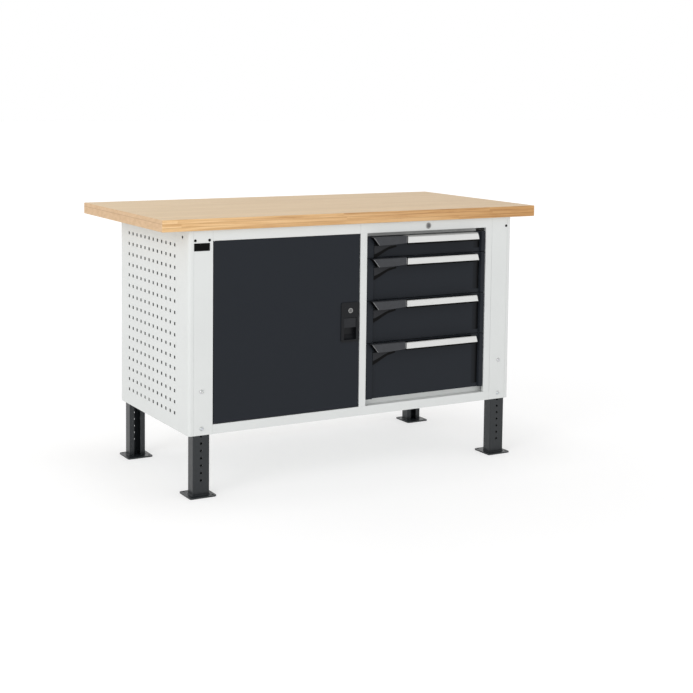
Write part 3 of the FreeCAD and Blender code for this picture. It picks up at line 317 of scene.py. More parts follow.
def beech(name):
    """Glued beech: long staves in three layers, pale on top, golden on the edges, and darker to the right as
    painted light that falls off from the left.
    """
    shader = Shader(name, (0.60, 0.42, 0.22), 0.42, specular=0.30)
    low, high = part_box("worktop")
    layer_height = (high.z - low.z) / LAYERS
    x, y, z = shader.split(shader.place)
    depth = shader.math("DIVIDE", shader.math("SUBTRACT", high.z, z), layer_height)
    stave = shader.math("FLOOR", shader.math("DIVIDE", y, STAVE_WIDTH))
    layer = shader.math("FLOOR", depth)
    shift = shader.math("MULTIPLY", shader.random(stave, layer, 3.0), STAVE_SHIFT)
    piece = shader.math("FLOOR", shader.math("DIVIDE", shader.math("ADD", x, shift), STAVE_LENGTH))
    tone = shader.random(stave, layer, piece)

    # the grain runs along x, is tight across it and differs from stave to stave
    drift = shader.math("MULTIPLY", tone, 7.0)
    spread = shader.nodes.new("ShaderNodeCombineXYZ")
    for index, (axis, factor) in enumerate(((x, 1.0), (y, 26.0), (z, 34.0))):
        scaled_axis = shader.math("MULTIPLY", axis, factor)
        shader.links.new(shader.math("ADD", scaled_axis, drift), spread.inputs[index])
    figure = shader.noise(spread.outputs[0], 2.6, detail=6, roughness=0.62, distortion=0.35)
    fine = shader.noise(shader.stretch((14, 620, 620)), 1.0, detail=3, roughness=0.6)
    flecks = shader.noise(shader.stretch((190, 1500, 1500)), 1.0, detail=1)
    length = shader.remap(x, low.x, high.x, 0.0, 1.0)

    # the edges: long golden grain with brown streaks
    edge = shader.ramp(figure, [
        (0.24, (0.36, 0.185, 0.070)), (0.40, (0.56, 0.335, 0.145)),
        (0.54, (0.70, 0.460, 0.225)), (0.76, (0.80, 0.575, 0.320)),
    ])
    streaks = shader.noise(shader.stretch((3.2, 90, 210)), 1.0, detail=4, roughness=0.65, distortion=0.8)
    brown = shader.ramp(streaks, [(0.30, (0.66, 0.53, 0.40)), (0.46, (1, 1, 1))])
    edge = shader.blend(0.75, edge, brown, "MULTIPLY")
    # painted light on the edges: lighter at the left end and darker towards the right, where the wood is also
    # made warmer in tone
    edge_light_falloff = shader.ramp(length, [
        (0.05, (1.12, 1.12, 1.14)), (0.5, (0.95, 0.89, 0.86)), (0.95, (0.79, 0.66, 0.51)),
    ])
    edge = shader.blend(1.0, edge, edge_light_falloff, "MULTIPLY")
    line_distance = shader.math("ABSOLUTE", shader.math("SUBTRACT", shader.math("FRACT", depth), 0.5))
    patchy = shader.noise(shader.stretch((5, 5, 40)), 1.0, detail=2)
    line = shader.remap(line_distance, 0.455, 0.485, 0.0, 0.8)
    line = shader.math("MULTIPLY", line, shader.remap(patchy, 0.35, 0.6, 0.1, 1.0))
    edge = shader.blend(line, edge, (0.24, 0.115, 0.045))

    # the top: the same staves, paler and calmer
    top = shader.ramp(figure, [
        (0.25, (0.575, 0.430, 0.255)), (0.50, (0.665, 0.520, 0.335)), (0.75, (0.725, 0.590, 0.405)),
    ])
    # painted light on the top: lighter at the left end, darker towards the right
    pale = shader.ramp(length, [
        (0.0, (1.07, 1.10, 1.12)), (0.5, (0.99, 0.99, 0.99)), (1.0, (0.93, 0.92, 0.92)),
    ])
    top = shader.blend(1.0, top, pale, "MULTIPLY")
    top = shader.blend(0.45, top, (0.655, 0.515, 0.340))
    top = shader.blend(1.0, top, (0.945, 0.880, 0.790), "MULTIPLY")
    tint = shader.ramp(tone, [(0.0, (0.95, 0.93, 0.90)), (0.5, (1, 1, 1)), (1.0, (1.04, 1.03, 1.02))])
    top = shader.blend(0.8, top, tint, "MULTIPLY")

    # the ends: smooth end grain with one darker glue line
    rings = shader.noise(shader.stretch((1, 34, 90)), 1.0, detail=2, distortion=0.4)
    end = shader.ramp(rings, [(0.3, (0.545, 0.350, 0.185)), (0.7, (0.645, 0.435, 0.248))])
    first_line = shader.math("ABSOLUTE", shader.math("SUBTRACT", depth, 1.0))
    end = shader.blend(shader.remap(first_line, 0.03, 0.10, 0.65, 0.0), end, (0.34, 0.185, 0.085))

    normal = shader.split(shader.nodes.new("ShaderNodeNewGeometry").outputs["Normal"])
    on_top = shader.remap(shader.math("ABSOLUTE", normal[2]), 0.5, 0.9, 0.0, 1.0)
    on_end = shader.remap(shader.math("ABSOLUTE", normal[0]), 0.5, 0.9, 0.0, 1.0)
    wood = shader.blend(on_end, shader.blend(on_top, edge, top), end)
    streak = shader.ramp(fine, [(0.28, (0.86, 0.81, 0.74)), (0.52, (1, 1, 1))])
    wood = shader.blend(shader.remap(on_end, 0.0, 1.0, 0.6, 0.1), wood, streak, "MULTIPLY")
    pore = shader.ramp(flecks, [(0.30, (0.66, 0.54, 0.42)), (0.37, (1, 1, 1))])
    wood = shader.blend(0.35, wood, pore, "MULTIPLY")
    shader.set(Base_Color=wood, Coat_Weight=0.05, Coat_Roughness=0.35)
    shader.set(Roughness=shader.remap(fine, 0.3, 0.7, 0.50, 0.40))
    relief = shader.bump(fine, 0.10, 0.2 * MM)
    shader.set(Normal=shader.bump(flecks, 0.06, 0.1 * MM, relief))
    return shader.material


BODY_GREY = (0.665, 0.680, 0.672)
ANTHRACITE = (0.0140, 0.0168, 0.0218)
paint = {
    "worktop_wood": beech("beech_wood"),
    "body_paint": powder_coat("light_grey_powder_coat", BODY_GREY, 0.46, 0.18),
    "front_paint": powder_coat("anthracite_powder_coat", ANTHRACITE, 0.36, 0.13),
    "leg_paint": powder_coat("dark_grey_powder_coat", (0.0140, 0.0170, 0.0195), 0.30, 0.42),
    "bar_aluminium": drawn_metal("anodised_aluminium", (0.665, 0.67, 0.66), 0.42, along=0, metallic=0.15),
    "grip_plastic": moulded_plastic("dark_grey_plastic", (0.044, 0.046, 0.051), 0.40, 0.22),
    "black_plastic": moulded_plastic("black_plastic", (0.0062, 0.0070, 0.0088), 0.34, 0.20),
    "lock_nickel": drawn_metal("nickel_plate", (0.40, 0.40, 0.39), 0.28, along=2),
    "zinc_steel": zinc_plate("zinc_plated_steel", (0.62, 0.63, 0.64), 0.34),
}
# the perforated sheets get painted shade in and round their holes, the drawer fronts painted shade in their
# grooves
perforated_paint_with_shade = powder_coat("light_grey_perforated_sheet_painted_shade", BODY_GREY, 0.46, 0.18, hole_wall_shade=0.12)
grooved_paint_with_shade = powder_coat("anthracite_front_with_groove_shade", ANTHRACITE, 0.36, 0.13, groove_shade=True)
trim_metal = drawn_metal("trim_metal", (0.42, 0.42, 0.42), 0.34, along=2)
# a mid grey that paints the shade on the lip above the first drawer
shade_grey = moulded_plastic("shade_grey", (0.30, 0.305, 0.30), 0.55, 0.20)
# near black for the name plate and black plastic parts, and for the painted shadows under levers and bars, on
# the grip ends and in the holes
black_enamel_and_shadow = moulded_plastic("black_enamel_and_shadow", (0.0014, 0.0014, 0.0015), 0.30, 0.08)
plug_metal = drawn_metal("worn_nickel", (0.17, 0.17, 0.17), 0.36, along=2)
lever_plastic = moulded_plastic("lever_plastic", (0.017, 0.018, 0.021), 0.34, 0.20)
special_paint = {
    "left_side_panel": perforated_paint_with_shade,
    "right_side_panel": perforated_paint_with_shade,
    "name_plate": black_enamel_and_shadow,
    "door_latch_paddle": lever_plastic,
    "door_key_cylinder": plug_metal,
    "drawer_lock_cylinder": plug_metal,
}
for drawer in range(1, 5):
    special_paint[f"drawer_{drawer}_front"] = grooved_paint_with_shade
    special_paint[f"drawer_{drawer}_catch_lever"] = lever_plastic
slot_of = {entry["node"]: entry["material_slot"] for entry in frame["record"]["subparts"]}


# ---------------------------------------------------------- CAD appearance

def modifier(obj, kind, **settings):
    """Adds a modifier of a kind to a piece, with its settings."""
    made = obj.modifiers.new(kind.lower(), kind)
    for key, value in settings.items():
        setattr(made, key, value)


def soften(obj, width):
    """Small radii on the sharp edges, with shading weighted to the flat faces."""
    modifier(obj, "WELD", merge_threshold=1e-5)
    if width:
        modifier(obj, "DECIMATE", decimate_type="DISSOLVE", angle_limit=math.radians(0.5))
        modifier(
            obj, "BEVEL", width=width, segments=2, limit_method="ANGLE",
            angle_limit=math.radians(35), use_clamp_overlap=True, harden_normals=False,
        )
    modifier(obj, "WEIGHTED_NORMAL", weight=60)


def edge_radius(name):
    """How far the sharp edges of a CAD piece are softened."""
    if name == "worktop":
        return 0.0
    if name.endswith("_side_panel"):
        return 0.15 * MM
    if name.endswith(("_leg", "_panel", "floor_panels", "shelf")):
        return 0.45 * MM
    if name.endswith("_latch_housing"):
        return 1.1 * MM
    if name.endswith(("_handle_bar", "_grip", "_front")):
        return 0.6 * MM
    return 0.3 * MM


for name, obj in cad.items():
    obj.data.materials.clear()
    obj.data.materials.append(special_paint.get(name, paint[slot_of[name]]))
    soften(obj, edge_radius(name))


# ------------------------------------------------------- modelled pieces

def make_piece(name, body, slot, verts, faces, width=0.0, replaces=(), smooth=False, material=None):
    """A mesh piece in the row frame that rides on a CAD body and is painted from a record slot."""
    mesh = bpy.data.meshes.new(name)
    mesh.from_pydata([tuple(v) for v in verts], [], faces)
    mesh.validate()
    tidy = bmesh.new()
    tidy.from_mesh(mesh)
    bmesh.ops.recalc_face_normals(tidy, faces=tidy.faces)
    tidy.to_mesh(mesh)
    tidy.free()
    mesh.materials.append(material or paint[slot])
    obj = bpy.data.objects.new(name, mesh)
    bpy.context.scene.collection.objects.link(obj)
    if smooth:
        for face in mesh.polygons:
            face.use_smooth = True
    if width:
        modifier(
            obj, "BEVEL", width=width, segments=3, limit_method="ANGLE",
            angle_limit=math.radians(40), use_clamp_overlap=True,
        )
        modifier(obj, "WEIGHTED_NORMAL", weight=60)
    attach(obj, body)
    if replaces:
        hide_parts(*replaces)


def sheet_solid(front, back):
    """A closed solid between two grids of points with the same rows and columns."""
    rows, columns = len(front), len(front[0])
    verts = [point for grid in (front, back) for row in grid for point in row]

    def at(layer, row, column):
        return layer * rows * columns + row * columns + column

    faces = []
    for layer in (0, 1):
        for row in range(rows - 1):
            for column in range(columns - 1):
                faces.append((
                    at(layer, row, column), at(layer, row, column + 1),
                    at(layer, row + 1, column + 1), at(layer, row + 1, column),
                ))
    rim = [(0, column) for column in range(columns)]
    rim += [(row, columns - 1) for row in range(1, rows)]
    rim += [(rows - 1, column) for column in range(columns - 2, -1, -1)]
    rim += [(row, 0) for row in range(rows - 2, 0, -1)]
    for (row, column), (next_row, next_column) in zip(rim, rim[1:] + rim[:1]):
        faces.append((
            at(0, row, column), at(0, next_row, next_column),
            at(1, next_row, next_column), at(1, row, column),
        ))
    return verts, faces


def lathe(rings, segments, place, turn, corners=0):
    """Rings of (radius, height, flat) round an axis, closed at both ends.

    A flat ring is a polygon with the given number of corners.
    """
    verts, faces = [], []
    for radius, height, flat in rings:
        for step in range(segments):
            angle = 2 * math.pi * step / segments
            reach = radius
            if flat:
                sector = 2 * math.pi / corners
                reach = radius * math.cos(sector / 2) / math.cos((angle % sector) - sector / 2)
            point = Vector((reach * math.cos(angle), reach * math.sin(angle), height))
            verts.append(place + turn @ point)
    for ring in range(len(rings) - 1):
        for step in range(segments):
            beside = (step + 1) % segments
            faces.append((
                ring * segments + step, ring * segments + beside,
                (ring + 1) * segments + beside, (ring + 1) * segments + step,
            ))
    faces.append(tuple(range(segments))[::-1])
    last = (len(rings) - 1) * segments
    faces.append(tuple(range(last, last + segments)))
    return verts, faces


def merged(parts):
    """Several (verts, faces) meshes as one."""
    verts, faces = [], []
    for part_verts, part_faces in parts:
        start = len(verts)
        verts.extend(part_verts)
        faces.extend(tuple(index + start for index in face) for face in part_faces)
    return verts, faces


def interpolate(stops, x):
    """Straight lines through (x, value) stops."""
    for (x0, v0), (x1, v1) in zip(stops, stops[1:]):
        if x <= x1:
            return v0 + (v1 - v0) * max(0.0, x - x0) / (x1 - x0)
    return stops[-1][1]


def box_mesh(low, high):
    """A plain box between two corners."""
    (x0, y0, z0), (x1, y1, z1) = low, high
    corners = [Vector((x, y, z)) for z in (z0, z1) for y in (y0, y1) for x in (x0, x1)]
    faces = [(0, 2, 3, 1), (4, 5, 7, 6), (0, 1, 5, 4), (2, 6, 7, 3), (0, 4, 6, 2), (1, 3, 7, 5)]
    return corners, faces


GRIP_RAKE = 25 * MM

# the grip's underside: (share of the length, mm from its top), for a grip of the full height
GRIP_UNDERSIDE = [(0.0, -31.0), (0.25, -30.8), (0.5, -30.0), (0.75, -28.4), (0.9, -26.9), (1.0, -26.0)]
GRIP_FULL_HEIGHT = 31.3
GRIP_ROWS, GRIP_COLUMNS = 13, 33
GRIP_CROWN, GRIP_SETBACK, GRIP_DISH = 1.5 * MM, 1.2 * MM, 0.9 * MM
STRIP_THICKNESS = 1.2 * MM


def grip_point(low, high, u, v):
    """A point on the grip's front: u from its raked end to the bar, v from its underside to its top."""
    length = high.x - low.x
    drop = (high.z - low.z) / GRIP_FULL_HEIGHT
    under = high.z - 0.3 * MM + interpolate(GRIP_UNDERSIDE, u) * drop
    edge = abs(v - 0.5) * 2
    crown = GRIP_CROWN * edge ** 4 + GRIP_SETBACK * (1 - u) ** 3
    dish = GRIP_DISH * math.exp(-((u - 0.34) / 0.2) ** 2 - ((v - 0.42) / 0.3) ** 2)
    x = low.x + GRIP_RAKE * (1 - v) * (1 - u) + length * u
    return Vector((x, low.y + crown + dish, under + (high.z - under) * v))


def grip_strip(node, name, body, slot, edges, proud, v_range, material):
    """A strip on the grip's front.

    edges are its two sides in mm: from the raked end, or from the bar where they are negative.
    """
    low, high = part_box(node)
    length = high.x - low.x
    sides = [edge * MM / length if edge > 0 else 1 + edge * MM / length for edge in edges]
    front, back = [], []
    for row in range(GRIP_ROWS):
        v = v_range[0] + (v_range[1] - v_range[0]) * row / (GRIP_ROWS - 1)
        line = [grip_point(low, high, u, v) + Vector((0, -proud, 0)) for u in sides]
        front.append(line)
        back.append([point + Vector((0, STRIP_THICKNESS, 0)) for point in line])
    verts, faces = sheet_solid(front, back)
    make_piece(name, body, slot, verts, faces, material=material)


def make_grip(number):
    """The plastic end of a drawer handle with its metal line, a black sheet on its raked end as painted
    shade, and its joint to the bar.
    """
    node, body = f"drawer_{number}_grip", f"drawer_{number}"
    low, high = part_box(node)
    front, back, end_shade_front, end_shade_back = [], [], [], []
    for row in range(GRIP_ROWS):
        v = row / (GRIP_ROWS - 1)
        line = [grip_point(low, high, column / (GRIP_COLUMNS - 1), v) for column in range(GRIP_COLUMNS)]
        front.append(line)
        back.append([Vector((point.x, high.y, point.z)) for point in line])
        # a near-black sheet over the raked end face: painted shade
        end = line[0]
        inner = [
            end + Vector((0.1 * MM, 0.7 * MM, 0)),
            Vector((end.x + 0.1 * MM, high.y - 0.2 * MM, end.z)),
        ]
        end_shade_back.append(inner)
        end_shade_front.append([point + Vector((-0.9 * MM, 0, 0)) for point in inner])
    verts, faces = sheet_solid(front, back)
    make_piece(f"grip_{number}", body, "grip_plastic", verts, faces, 0.9 * MM, [node], smooth=True)
    verts, faces = sheet_solid(end_shade_front, end_shade_back)
    make_piece(f"grip_end_shade_{number}", body, "black_plastic", verts, faces, material=black_enamel_and_shadow)

    strips = (
        ("grip_line", "bar_aluminium", (1.6, 2.8), 0.4 * MM, (0.04, 0.94), trim_metal),
        ("grip_joint", "bar_aluminium", (-5.4, -4.2), 0.3 * MM, (0.08, 0.92), trim_metal),
        ("grip_groove", "black_plastic", (-3.6, -0.1), 0.3 * MM, (0.01, 0.97), black_enamel_and_shadow),
    )
    for name, slot, edges, proud, v_range, material in strips:
        grip_strip(node, f"{name}_{number}", body, slot, edges, proud, v_range, material)


# the lower edge of the catch lever: (distance from its left end, rise), in mm
LEVER_EDGE = [(0, 0), (8, 2), (23, 8), (45, 18), (63, 25), (95, 29)]
# the painted shadow under it, a black strip in the gap, in mm: its length, its height at the left, and how
# much lower it is at the right
LEVER_SHADOW_LENGTH = 94
LEVER_SHADOW_AT_LEFT, LEVER_SHADOW_NARROWS_BY = 15.0, 8.5
LEVER_SHADOW_COLUMNS = 25


def make_lever_shadow(number):
    """A black strip in the gap under the catch lever, a painted shadow, deeper at the left, following the
    lever's swept edge.
    """
    lever = f"drawer_{number}_catch_lever"
    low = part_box(lever)[0]
    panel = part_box(f"drawer_{number}_front")[1].y - 3 * MM
    left = min(vertex.co.x for vertex in cad[lever].data.vertices if vertex.co.z < low.z + 3 * MM)
    front, back = [], []
    for step in range(LEVER_SHADOW_COLUMNS):
        share = step / (LEVER_SHADOW_COLUMNS - 1)
        x = share * LEVER_SHADOW_LENGTH
        edge = low.z + interpolate(LEVER_EDGE, x) * MM - 0.6 * MM
        thick = (LEVER_SHADOW_AT_LEFT - LEVER_SHADOW_NARROWS_BY * share) * MM
        top = Vector((left + x * MM, low.y + 2.5 * MM, edge))
        front.append([top, top - Vector((0, 0, thick))])
        back.append([Vector((point.x, panel - 0.1 * MM, point.z)) for point in front[-1]])
    verts, faces = sheet_solid(front, back)
    name, body = f"lever_shadow_{number}", f"drawer_{number}"
    make_piece(name, body, "black_plastic", verts, faces, material=black_enamel_and_shadow)


def raked_rows(outer, inner, low, high, rake):
    """The two skins of an extrusion along X whose right end is raked."""
    grids = []
    for chain in (outer, inner):
        rows = []
        for depth, rise in chain:
            end = high.x - rake * rise * MM / (high.z - low.z)
            rows.append([Vector((x, low.y + depth * MM, low.z + rise * MM)) for x in (low.x, end)])
        grids.append(rows)
    return sheet_solid(*grids)


BAR_RAKE = 7 * MM
# in mm: how far the bar's shoulder lies below the top of its box, and the rounding of its front edge
BAR_SHOULDER_DROP = 3.2
BAR_ROUNDING = 3.5
CORNER_STEPS = 6


def make_bar(number):
    """The aluminium front of a handle with a rounded top edge, and the web that joins it to the drawer.

    Profiles are (depth, rise) in mm from the lower front edge of the bar.
    """
    node, body = f"drawer_{number}_handle_bar", f"drawer_{number}"
    low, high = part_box(node)
    height = (high.z - low.z) / MM
    shoulder = height - BAR_SHOULDER_DROP
    outer, inner = [(0, 0), (0, shoulder - BAR_ROUNDING)], [(3, 0), (3, shoulder - 5.5)]
    for step in range(1, CORNER_STEPS + 1):
        angle = math.radians(90 * step / CORNER_STEPS)
        across, up = BAR_ROUNDING * math.cos(angle), BAR_ROUNDING * math.sin(angle)
        outer.append((BAR_ROUNDING - across, shoulder - BAR_ROUNDING + up))
        inner.append((3.0 + 1.5 * (1 - math.cos(angle)), shoulder - 5.5 + 2.9 * math.sin(angle)))
    outer.append((8, shoulder))
    inner.append((8, shoulder - 2.6))
    verts, faces = raked_rows(outer, inner, low, high, BAR_RAKE)
    make_piece(f"handle_bar_{number}", body, "bar_aluminium", verts, faces, 0.35 * MM, [node], smooth=True)

    # the web, which stands behind the bar and meets the drawer front
    depth = (high.y - low.y) / MM
    top = height - 0.1 if number == 1 else shoulder - 0.3
    start = 2.0 if number == 1 else 7.0
    outer = [(start, shoulder - 2.4), (start, top), (depth, top)]
    inner = [(start + 1.5, shoulder - 2.4), (start + 1.5, top - 1.5), (depth, top - 1.5)]
    verts, faces = raked_rows(outer, inner, low, high, BAR_RAKE)
    # the first drawer's web wears the painted shade grey of the lip above it
    web = shade_grey if number == 1 else black_enamel_and_shadow
    make_piece(f"handle_web_{number}", body, "black_plastic", verts, faces, material=web)


def make_bar_shadow(number):
    """A black strip just behind the lower edge of the handle bar: a painted shadow under the bar.

    The two sides are (depth, rise) in mm from the lower front edge of the bar.
    """
    low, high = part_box(f"drawer_{number}_handle_bar")
    ends = (low.x + 0.5 * MM, high.x - 2 * MM)
    front_side = ((3.1, 4.0), (3.1, -5.0), (3.6, -6.0))
    back_side = ((5.6, 4.0), (5.6, -5.0), (5.1, -6.0))
    front, back = (
        [[Vector((x, low.y + depth * MM, low.z + rise * MM)) for x in ends] for depth, rise in side]
        for side in (front_side, back_side)
    )
    verts, faces = sheet_solid(front, back)
    name, body = f"bar_shadow_{number}", f"drawer_{number}"
    make_piece(name, body, "black_plastic", verts, faces, material=black_enamel_and_shadow)


def make_lip_shade():
    """A grey strip along the inner lip of the top rail, just clear of the first drawer: painted shade for the
    shadow under the rail.
    """
    drawer_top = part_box("drawer_1_front")[1].z
    rail_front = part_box("drawer_top_rail")[0].y
    rail = [vertex.co for vertex in cad["drawer_top_rail"].data.vertices]
    lip = [point for point in rail if point.z < drawer_top + 3 * MM]
    front = min(point.y for point in lip)
    left, right = min(point.x for point in lip), max(point.x for point in lip)
    under = min(point.z for point in rail if point.y < rail_front + 0.5 * MM)
    bottom = drawer_top + 0.6 * MM
    heights = (bottom, bottom + 1.2 * MM, under - 0.3 * MM)
    outline = zip((front - 0.4 * MM, front - 1.6 * MM, front - 1.6 * MM), heights)
    inner = zip((front, front, front), heights)
    grids = [[[Vector((x, y, z)) for x in (left, right)] for y, z in chain] for chain in (outline, inner)]
    verts, faces = sheet_solid(*grids)
    make_piece("lip_shade", "bench", "grip_plastic", verts, faces, material=shade_grey)


SCOOP_STEPS = 12
SCOOP_RISE, SCOOP_CURVE = 17 * MM, 1.6


def make_latch_scoop():
    """A curved floor that leads the fingers up behind the paddle."""
    paddle_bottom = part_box("door_latch_paddle")[0].z
    plate_low, plate_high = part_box("door_latch_housing")
    floor_z = plate_low.z + 8.1 * MM
    front, back = plate_low.y + 1.5 * MM, plate_high.y - 2.2 * MM
    paddle = [vertex.co for vertex in cad["door_latch_paddle"].data.vertices]
    sides = [point.x for point in paddle if point.z < paddle_bottom + 1 * MM]
    left, right = min(sides) - 0.3 * MM, max(sides) + 0.3 * MM
    surface, under = [], []
    for step in range(SCOOP_STEPS + 1):
        share = step / SCOOP_STEPS
        y = front + (back - front) * share
        z = floor_z + 0.4 * MM + SCOOP_RISE * share ** SCOOP_CURVE
        surface.append([Vector((x, y, z)) for x in (left, right)])
        under.append([Vector((x, y, floor_z)) for x in (left, right)])
    verts, faces = sheet_solid(surface, under)
    make_piece("latch_scoop", "door", "black_plastic", verts, faces)


def ring_mesh(profile, segments, place, turn):
    """A closed (radius, height) profile turned about the axis."""
    verts, faces = [], []
    count = len(profile)
    for step in range(segments):
        angle = 2 * math.pi * step / segments
        for radius, height in profile:
            verts.append(place + turn @ Vector((radius * math.cos(angle), radius * math.sin(angle), height)))
    for step in range(segments):
        beside = (step + 1) % segments
        for index in range(count):
            after = (index + 1) % count
            faces.append((
                step * count + index, step * count + after,
                beside * count + after, beside * count + index,
            ))
    return verts, faces


def make_lock_rim(name, body, node, width):
    """A turned metal rim round a key plug, standing just behind the plug's face."""
    vertices = [vertex.co for vertex in cad[node].data.vertices]
    front = min(point.y for point in vertices)
    face = [point for point in vertices if point.y < front + 0.05 * MM]
    left, right = min(point.x for point in face), max(point.x for point in face)
    middle_z = (min(point.z for point in face) + max(point.z for point in face)) / 2
    place = Vector(((left + right) / 2, front + 0.9 * MM, middle_z))
    turn = Vector((0, -1, 0)).to_track_quat("Z", "Y")
    inner = (right - left) / 2 + 0.35 * MM
    profile = [
        (inner, -0.9 * MM), (inner, 0.25 * MM), (inner + 0.25 * width, 0.55 * MM),
        (inner + 0.6 * width, 0.5 * MM), (inner + 0.88 * width, 0.1 * MM),
        (inner + width, -0.4 * MM), (inner + width, -0.9 * MM),
    ]
    verts, faces = ring_mesh(profile, 64, place, turn)
    make_piece(name, body, "lock_nickel", verts, faces, smooth=True)


def make_screw(place, outward, radius, height):
    """A button-head screw with a hexagon socket."""
    turn = Vector(outward).to_track_quat("Z", "Y")
    rim = 0.25 * MM
    rings = [(radius * 0.96, -0.2 * MM, False), (radius, rim, False)]
    for step in range(1, CORNER_STEPS + 1):
        angle = math.radians(90 * step / CORNER_STEPS)
        narrowed = radius * (1 - 0.48 * (1 - math.cos(angle)))
        rings.append((narrowed, rim + (height - rim) * math.sin(angle), False))
    mouth, socket = radius * 0.46, radius * 0.43
    rings.append((mouth, height, True))
    rings.append((socket, height - 0.3 * MM, True))
    rings.append((socket, height * 0.35, True))
    return lathe(rings, 36, Vector(place), turn, corners=6)


def make_clamp_screws():
    """The eight screws on the front and rear faces of the uprights."""
    low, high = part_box("leg_clamp_screws")
    front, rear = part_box("left_side_panel")[0].y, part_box("left_side_panel")[1].y
    leg_x = (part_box("front_right_leg")[0].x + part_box("front_right_leg")[1].x) / 2
    radius = 7 * MM
    parts = []
    for side in (-1, 1):
        for z in (low.z + radius, high.z - radius):
            parts.append(make_screw((leg_x * side, front, z), (0, -1, 0), radius, front - low.y))
            parts.append(make_screw((leg_x * side, rear, z), (0, 1, 0), radius, high.y - rear))
    verts, faces = merged(parts)
    replaced = ["leg_clamp_screws"]
    make_piece("clamp_screws", "bench", "zinc_steel", verts, faces, 0.15 * MM, replaced, smooth=True)


# how far the accessory holes lie from the side face: two on the left upright (-1), one on the right (1)
ACCESSORY_INSETS = {-1: (23 * MM, 74 * MM), 1: (23 * MM,)}
FACE_HOLE_DROP = 33 * MM
SIDE_HOLE_DROP = 25 * MM
SIDE_HOLE_SETBACK = 52 * MM


def make_hole_grommets():
    """Black grommets in the accessory holes at the top of the uprights and of the sides; their near-black
    cups also paint the shade deep in the holes.

    The profile is (radius, height) in mm, from the tube behind the sheet over the flange and back.
    """
    low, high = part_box("left_side_panel")
    profile = ((3.8, -9), (3.8, 0.05), (4.8, 0.05), (4.8, 0.4), (4.5, 0.7), (3.4, 0.7), (3.4, -7))
    rings = [(radius * MM, height * MM, False) for radius, height in profile]

    def grommet(place, outward):
        return lathe(rings, 32, Vector(place), Vector(outward).to_track_quat("Z", "Y"))

    parts = []
    for side in (-1, 1):
        for inset in ACCESSORY_INSETS[side]:
            x, z = side * (-low.x - inset), high.z - FACE_HOLE_DROP
            parts.append(grommet((x, low.y, z), (0, -1, 0)))
            parts.append(grommet((x, high.y, z), (0, 1, 0)))
        place = (-low.x * side, low.y + SIDE_HOLE_SETBACK, high.z - SIDE_HOLE_DROP)
        parts.append(grommet(place, (side, 0, 0)))
    verts, faces = merged(parts)
    make_piece("hole_grommets", "bench", "black_plastic", verts, faces, material=black_enamel_and_shadow)


def make_bay_plates():
    """Small upright plates that carry on the lip of each side's bottom flange past the legs."""
    low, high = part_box("left_side_panel")
    thickness, bay, lip_height = 1.5 * MM, 86 * MM, 44 * MM
    parts = []
    for x0, x1 in ((high.x - thickness, high.x), (-high.x, -high.x + thickness)):
        for y0, y1 in ((low.y + 3 * MM, low.y + bay), (high.y - bay, high.y - 3 * MM)):
            parts.append(box_mesh((x0, y0, low.z + 0.5 * MM), (x1, y1, low.z + lip_height)))
    verts, faces = merged(parts)
    make_piece("bay_plates", "bench", "body_paint", verts, faces)


WELD_SIZE, WELD_STEP = 2.6 * MM, 1.6 * MM
WELD_RIPPLE, RIPPLE_TURN = 0.12, 2.1
FOOT_PLATE = 5 * MM
HALF_LEG = 30 * MM
# the section of a weld: (distance out from the leg, rise), in weld sizes
WELD_SECTION = ((-0.3, 0.0), (-0.3, 1.0), (0.35, 0.62), (0.75, 0.28), (1.05, 0.0))


def weld_path(leg):
    """Points round the three outer faces of a leg, leaving out its open back."""
    low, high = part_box(leg)
    centre_x = (low.x + high.x) / 2
    column = [vertex.co.y for vertex in cad[leg].data.vertices if vertex.co.z > high.z - 1 * MM]
    near, far = min(column), max(column)
    open_side, closed_side = (near, far) if leg.startswith("rear") else (far, near)
    corners = [
        (-HALF_LEG, open_side), (-HALF_LEG, closed_side), (HALF_LEG, closed_side), (HALF_LEG, open_side),
    ]
    path = []
    for (x0, y0), (x1, y1) in zip(corners, corners[1:]):
        count = max(2, int(math.hypot(x1 - x0, y1 - y0) / WELD_STEP))
        for step in range(count):
            share = step / count
            path.append(Vector((centre_x + x0 + (x1 - x0) * share, y0 + (y1 - y0) * share, 0)))
    path.append(Vector((centre_x + corners[-1][0], corners[-1][1], 0)))
    return path, Vector((centre_x, (near + far) / 2, 0))


def make_weld(leg):
    """A rippled fillet weld round the outside of a leg where it stands on its foot plate."""
    path, middle = weld_path(leg)
    verts, faces = [], []
    for index, point in enumerate(path):
        before, after = path[max(0, index - 1)], path[min(len(path) - 1, index + 1)]
        along = (after - before).normalized()
        out = Vector((along.y, -along.x, 0))
        if out.dot(point - middle) < 0:
            out = -out
        size = WELD_SIZE * (1 + WELD_RIPPLE * math.sin(index * RIPPLE_TURN))
        for across, up in WELD_SECTION:
            rise = Vector((0, 0, FOOT_PLATE - 0.1 * MM + size * up))
            verts.append(point + out * size * across + rise)
    count = len(WELD_SECTION)
    for index in range(len(path) - 1):
        start, following = index * count, (index + 1) * count
        for side in range(count):
            beside = (side + 1) % count
            faces.append((start + side, start + beside, following + beside, following + side))
    last = (len(path) - 1) * count
    faces.append(tuple(reversed(range(count))))
    faces.append(tuple(range(last, last + count)))
    make_piece(f"{leg}_weld", leg, "leg_paint", verts, faces, smooth=True)


for drawer in range(1, 5):
    make_grip(drawer)
    make_lever_shadow(drawer)
    make_bar(drawer)
    make_bar_shadow(drawer)
make_lip_shade()
make_latch_scoop()
make_lock_rim("door_lock_rim", "door", "door_key_cylinder", 2.6 * MM)
make_lock_rim("drawer_lock_rim", "bench", "drawer_lock_cylinder", 2.4 * MM)
make_clamp_screws()
make_hole_grommets()
make_bay_plates()
for corner in ("front_left", "front_right", "rear_left", "rear_right"):
    make_weld(f"{corner}_leg")


# ------------------------------------------------------- stage and camera

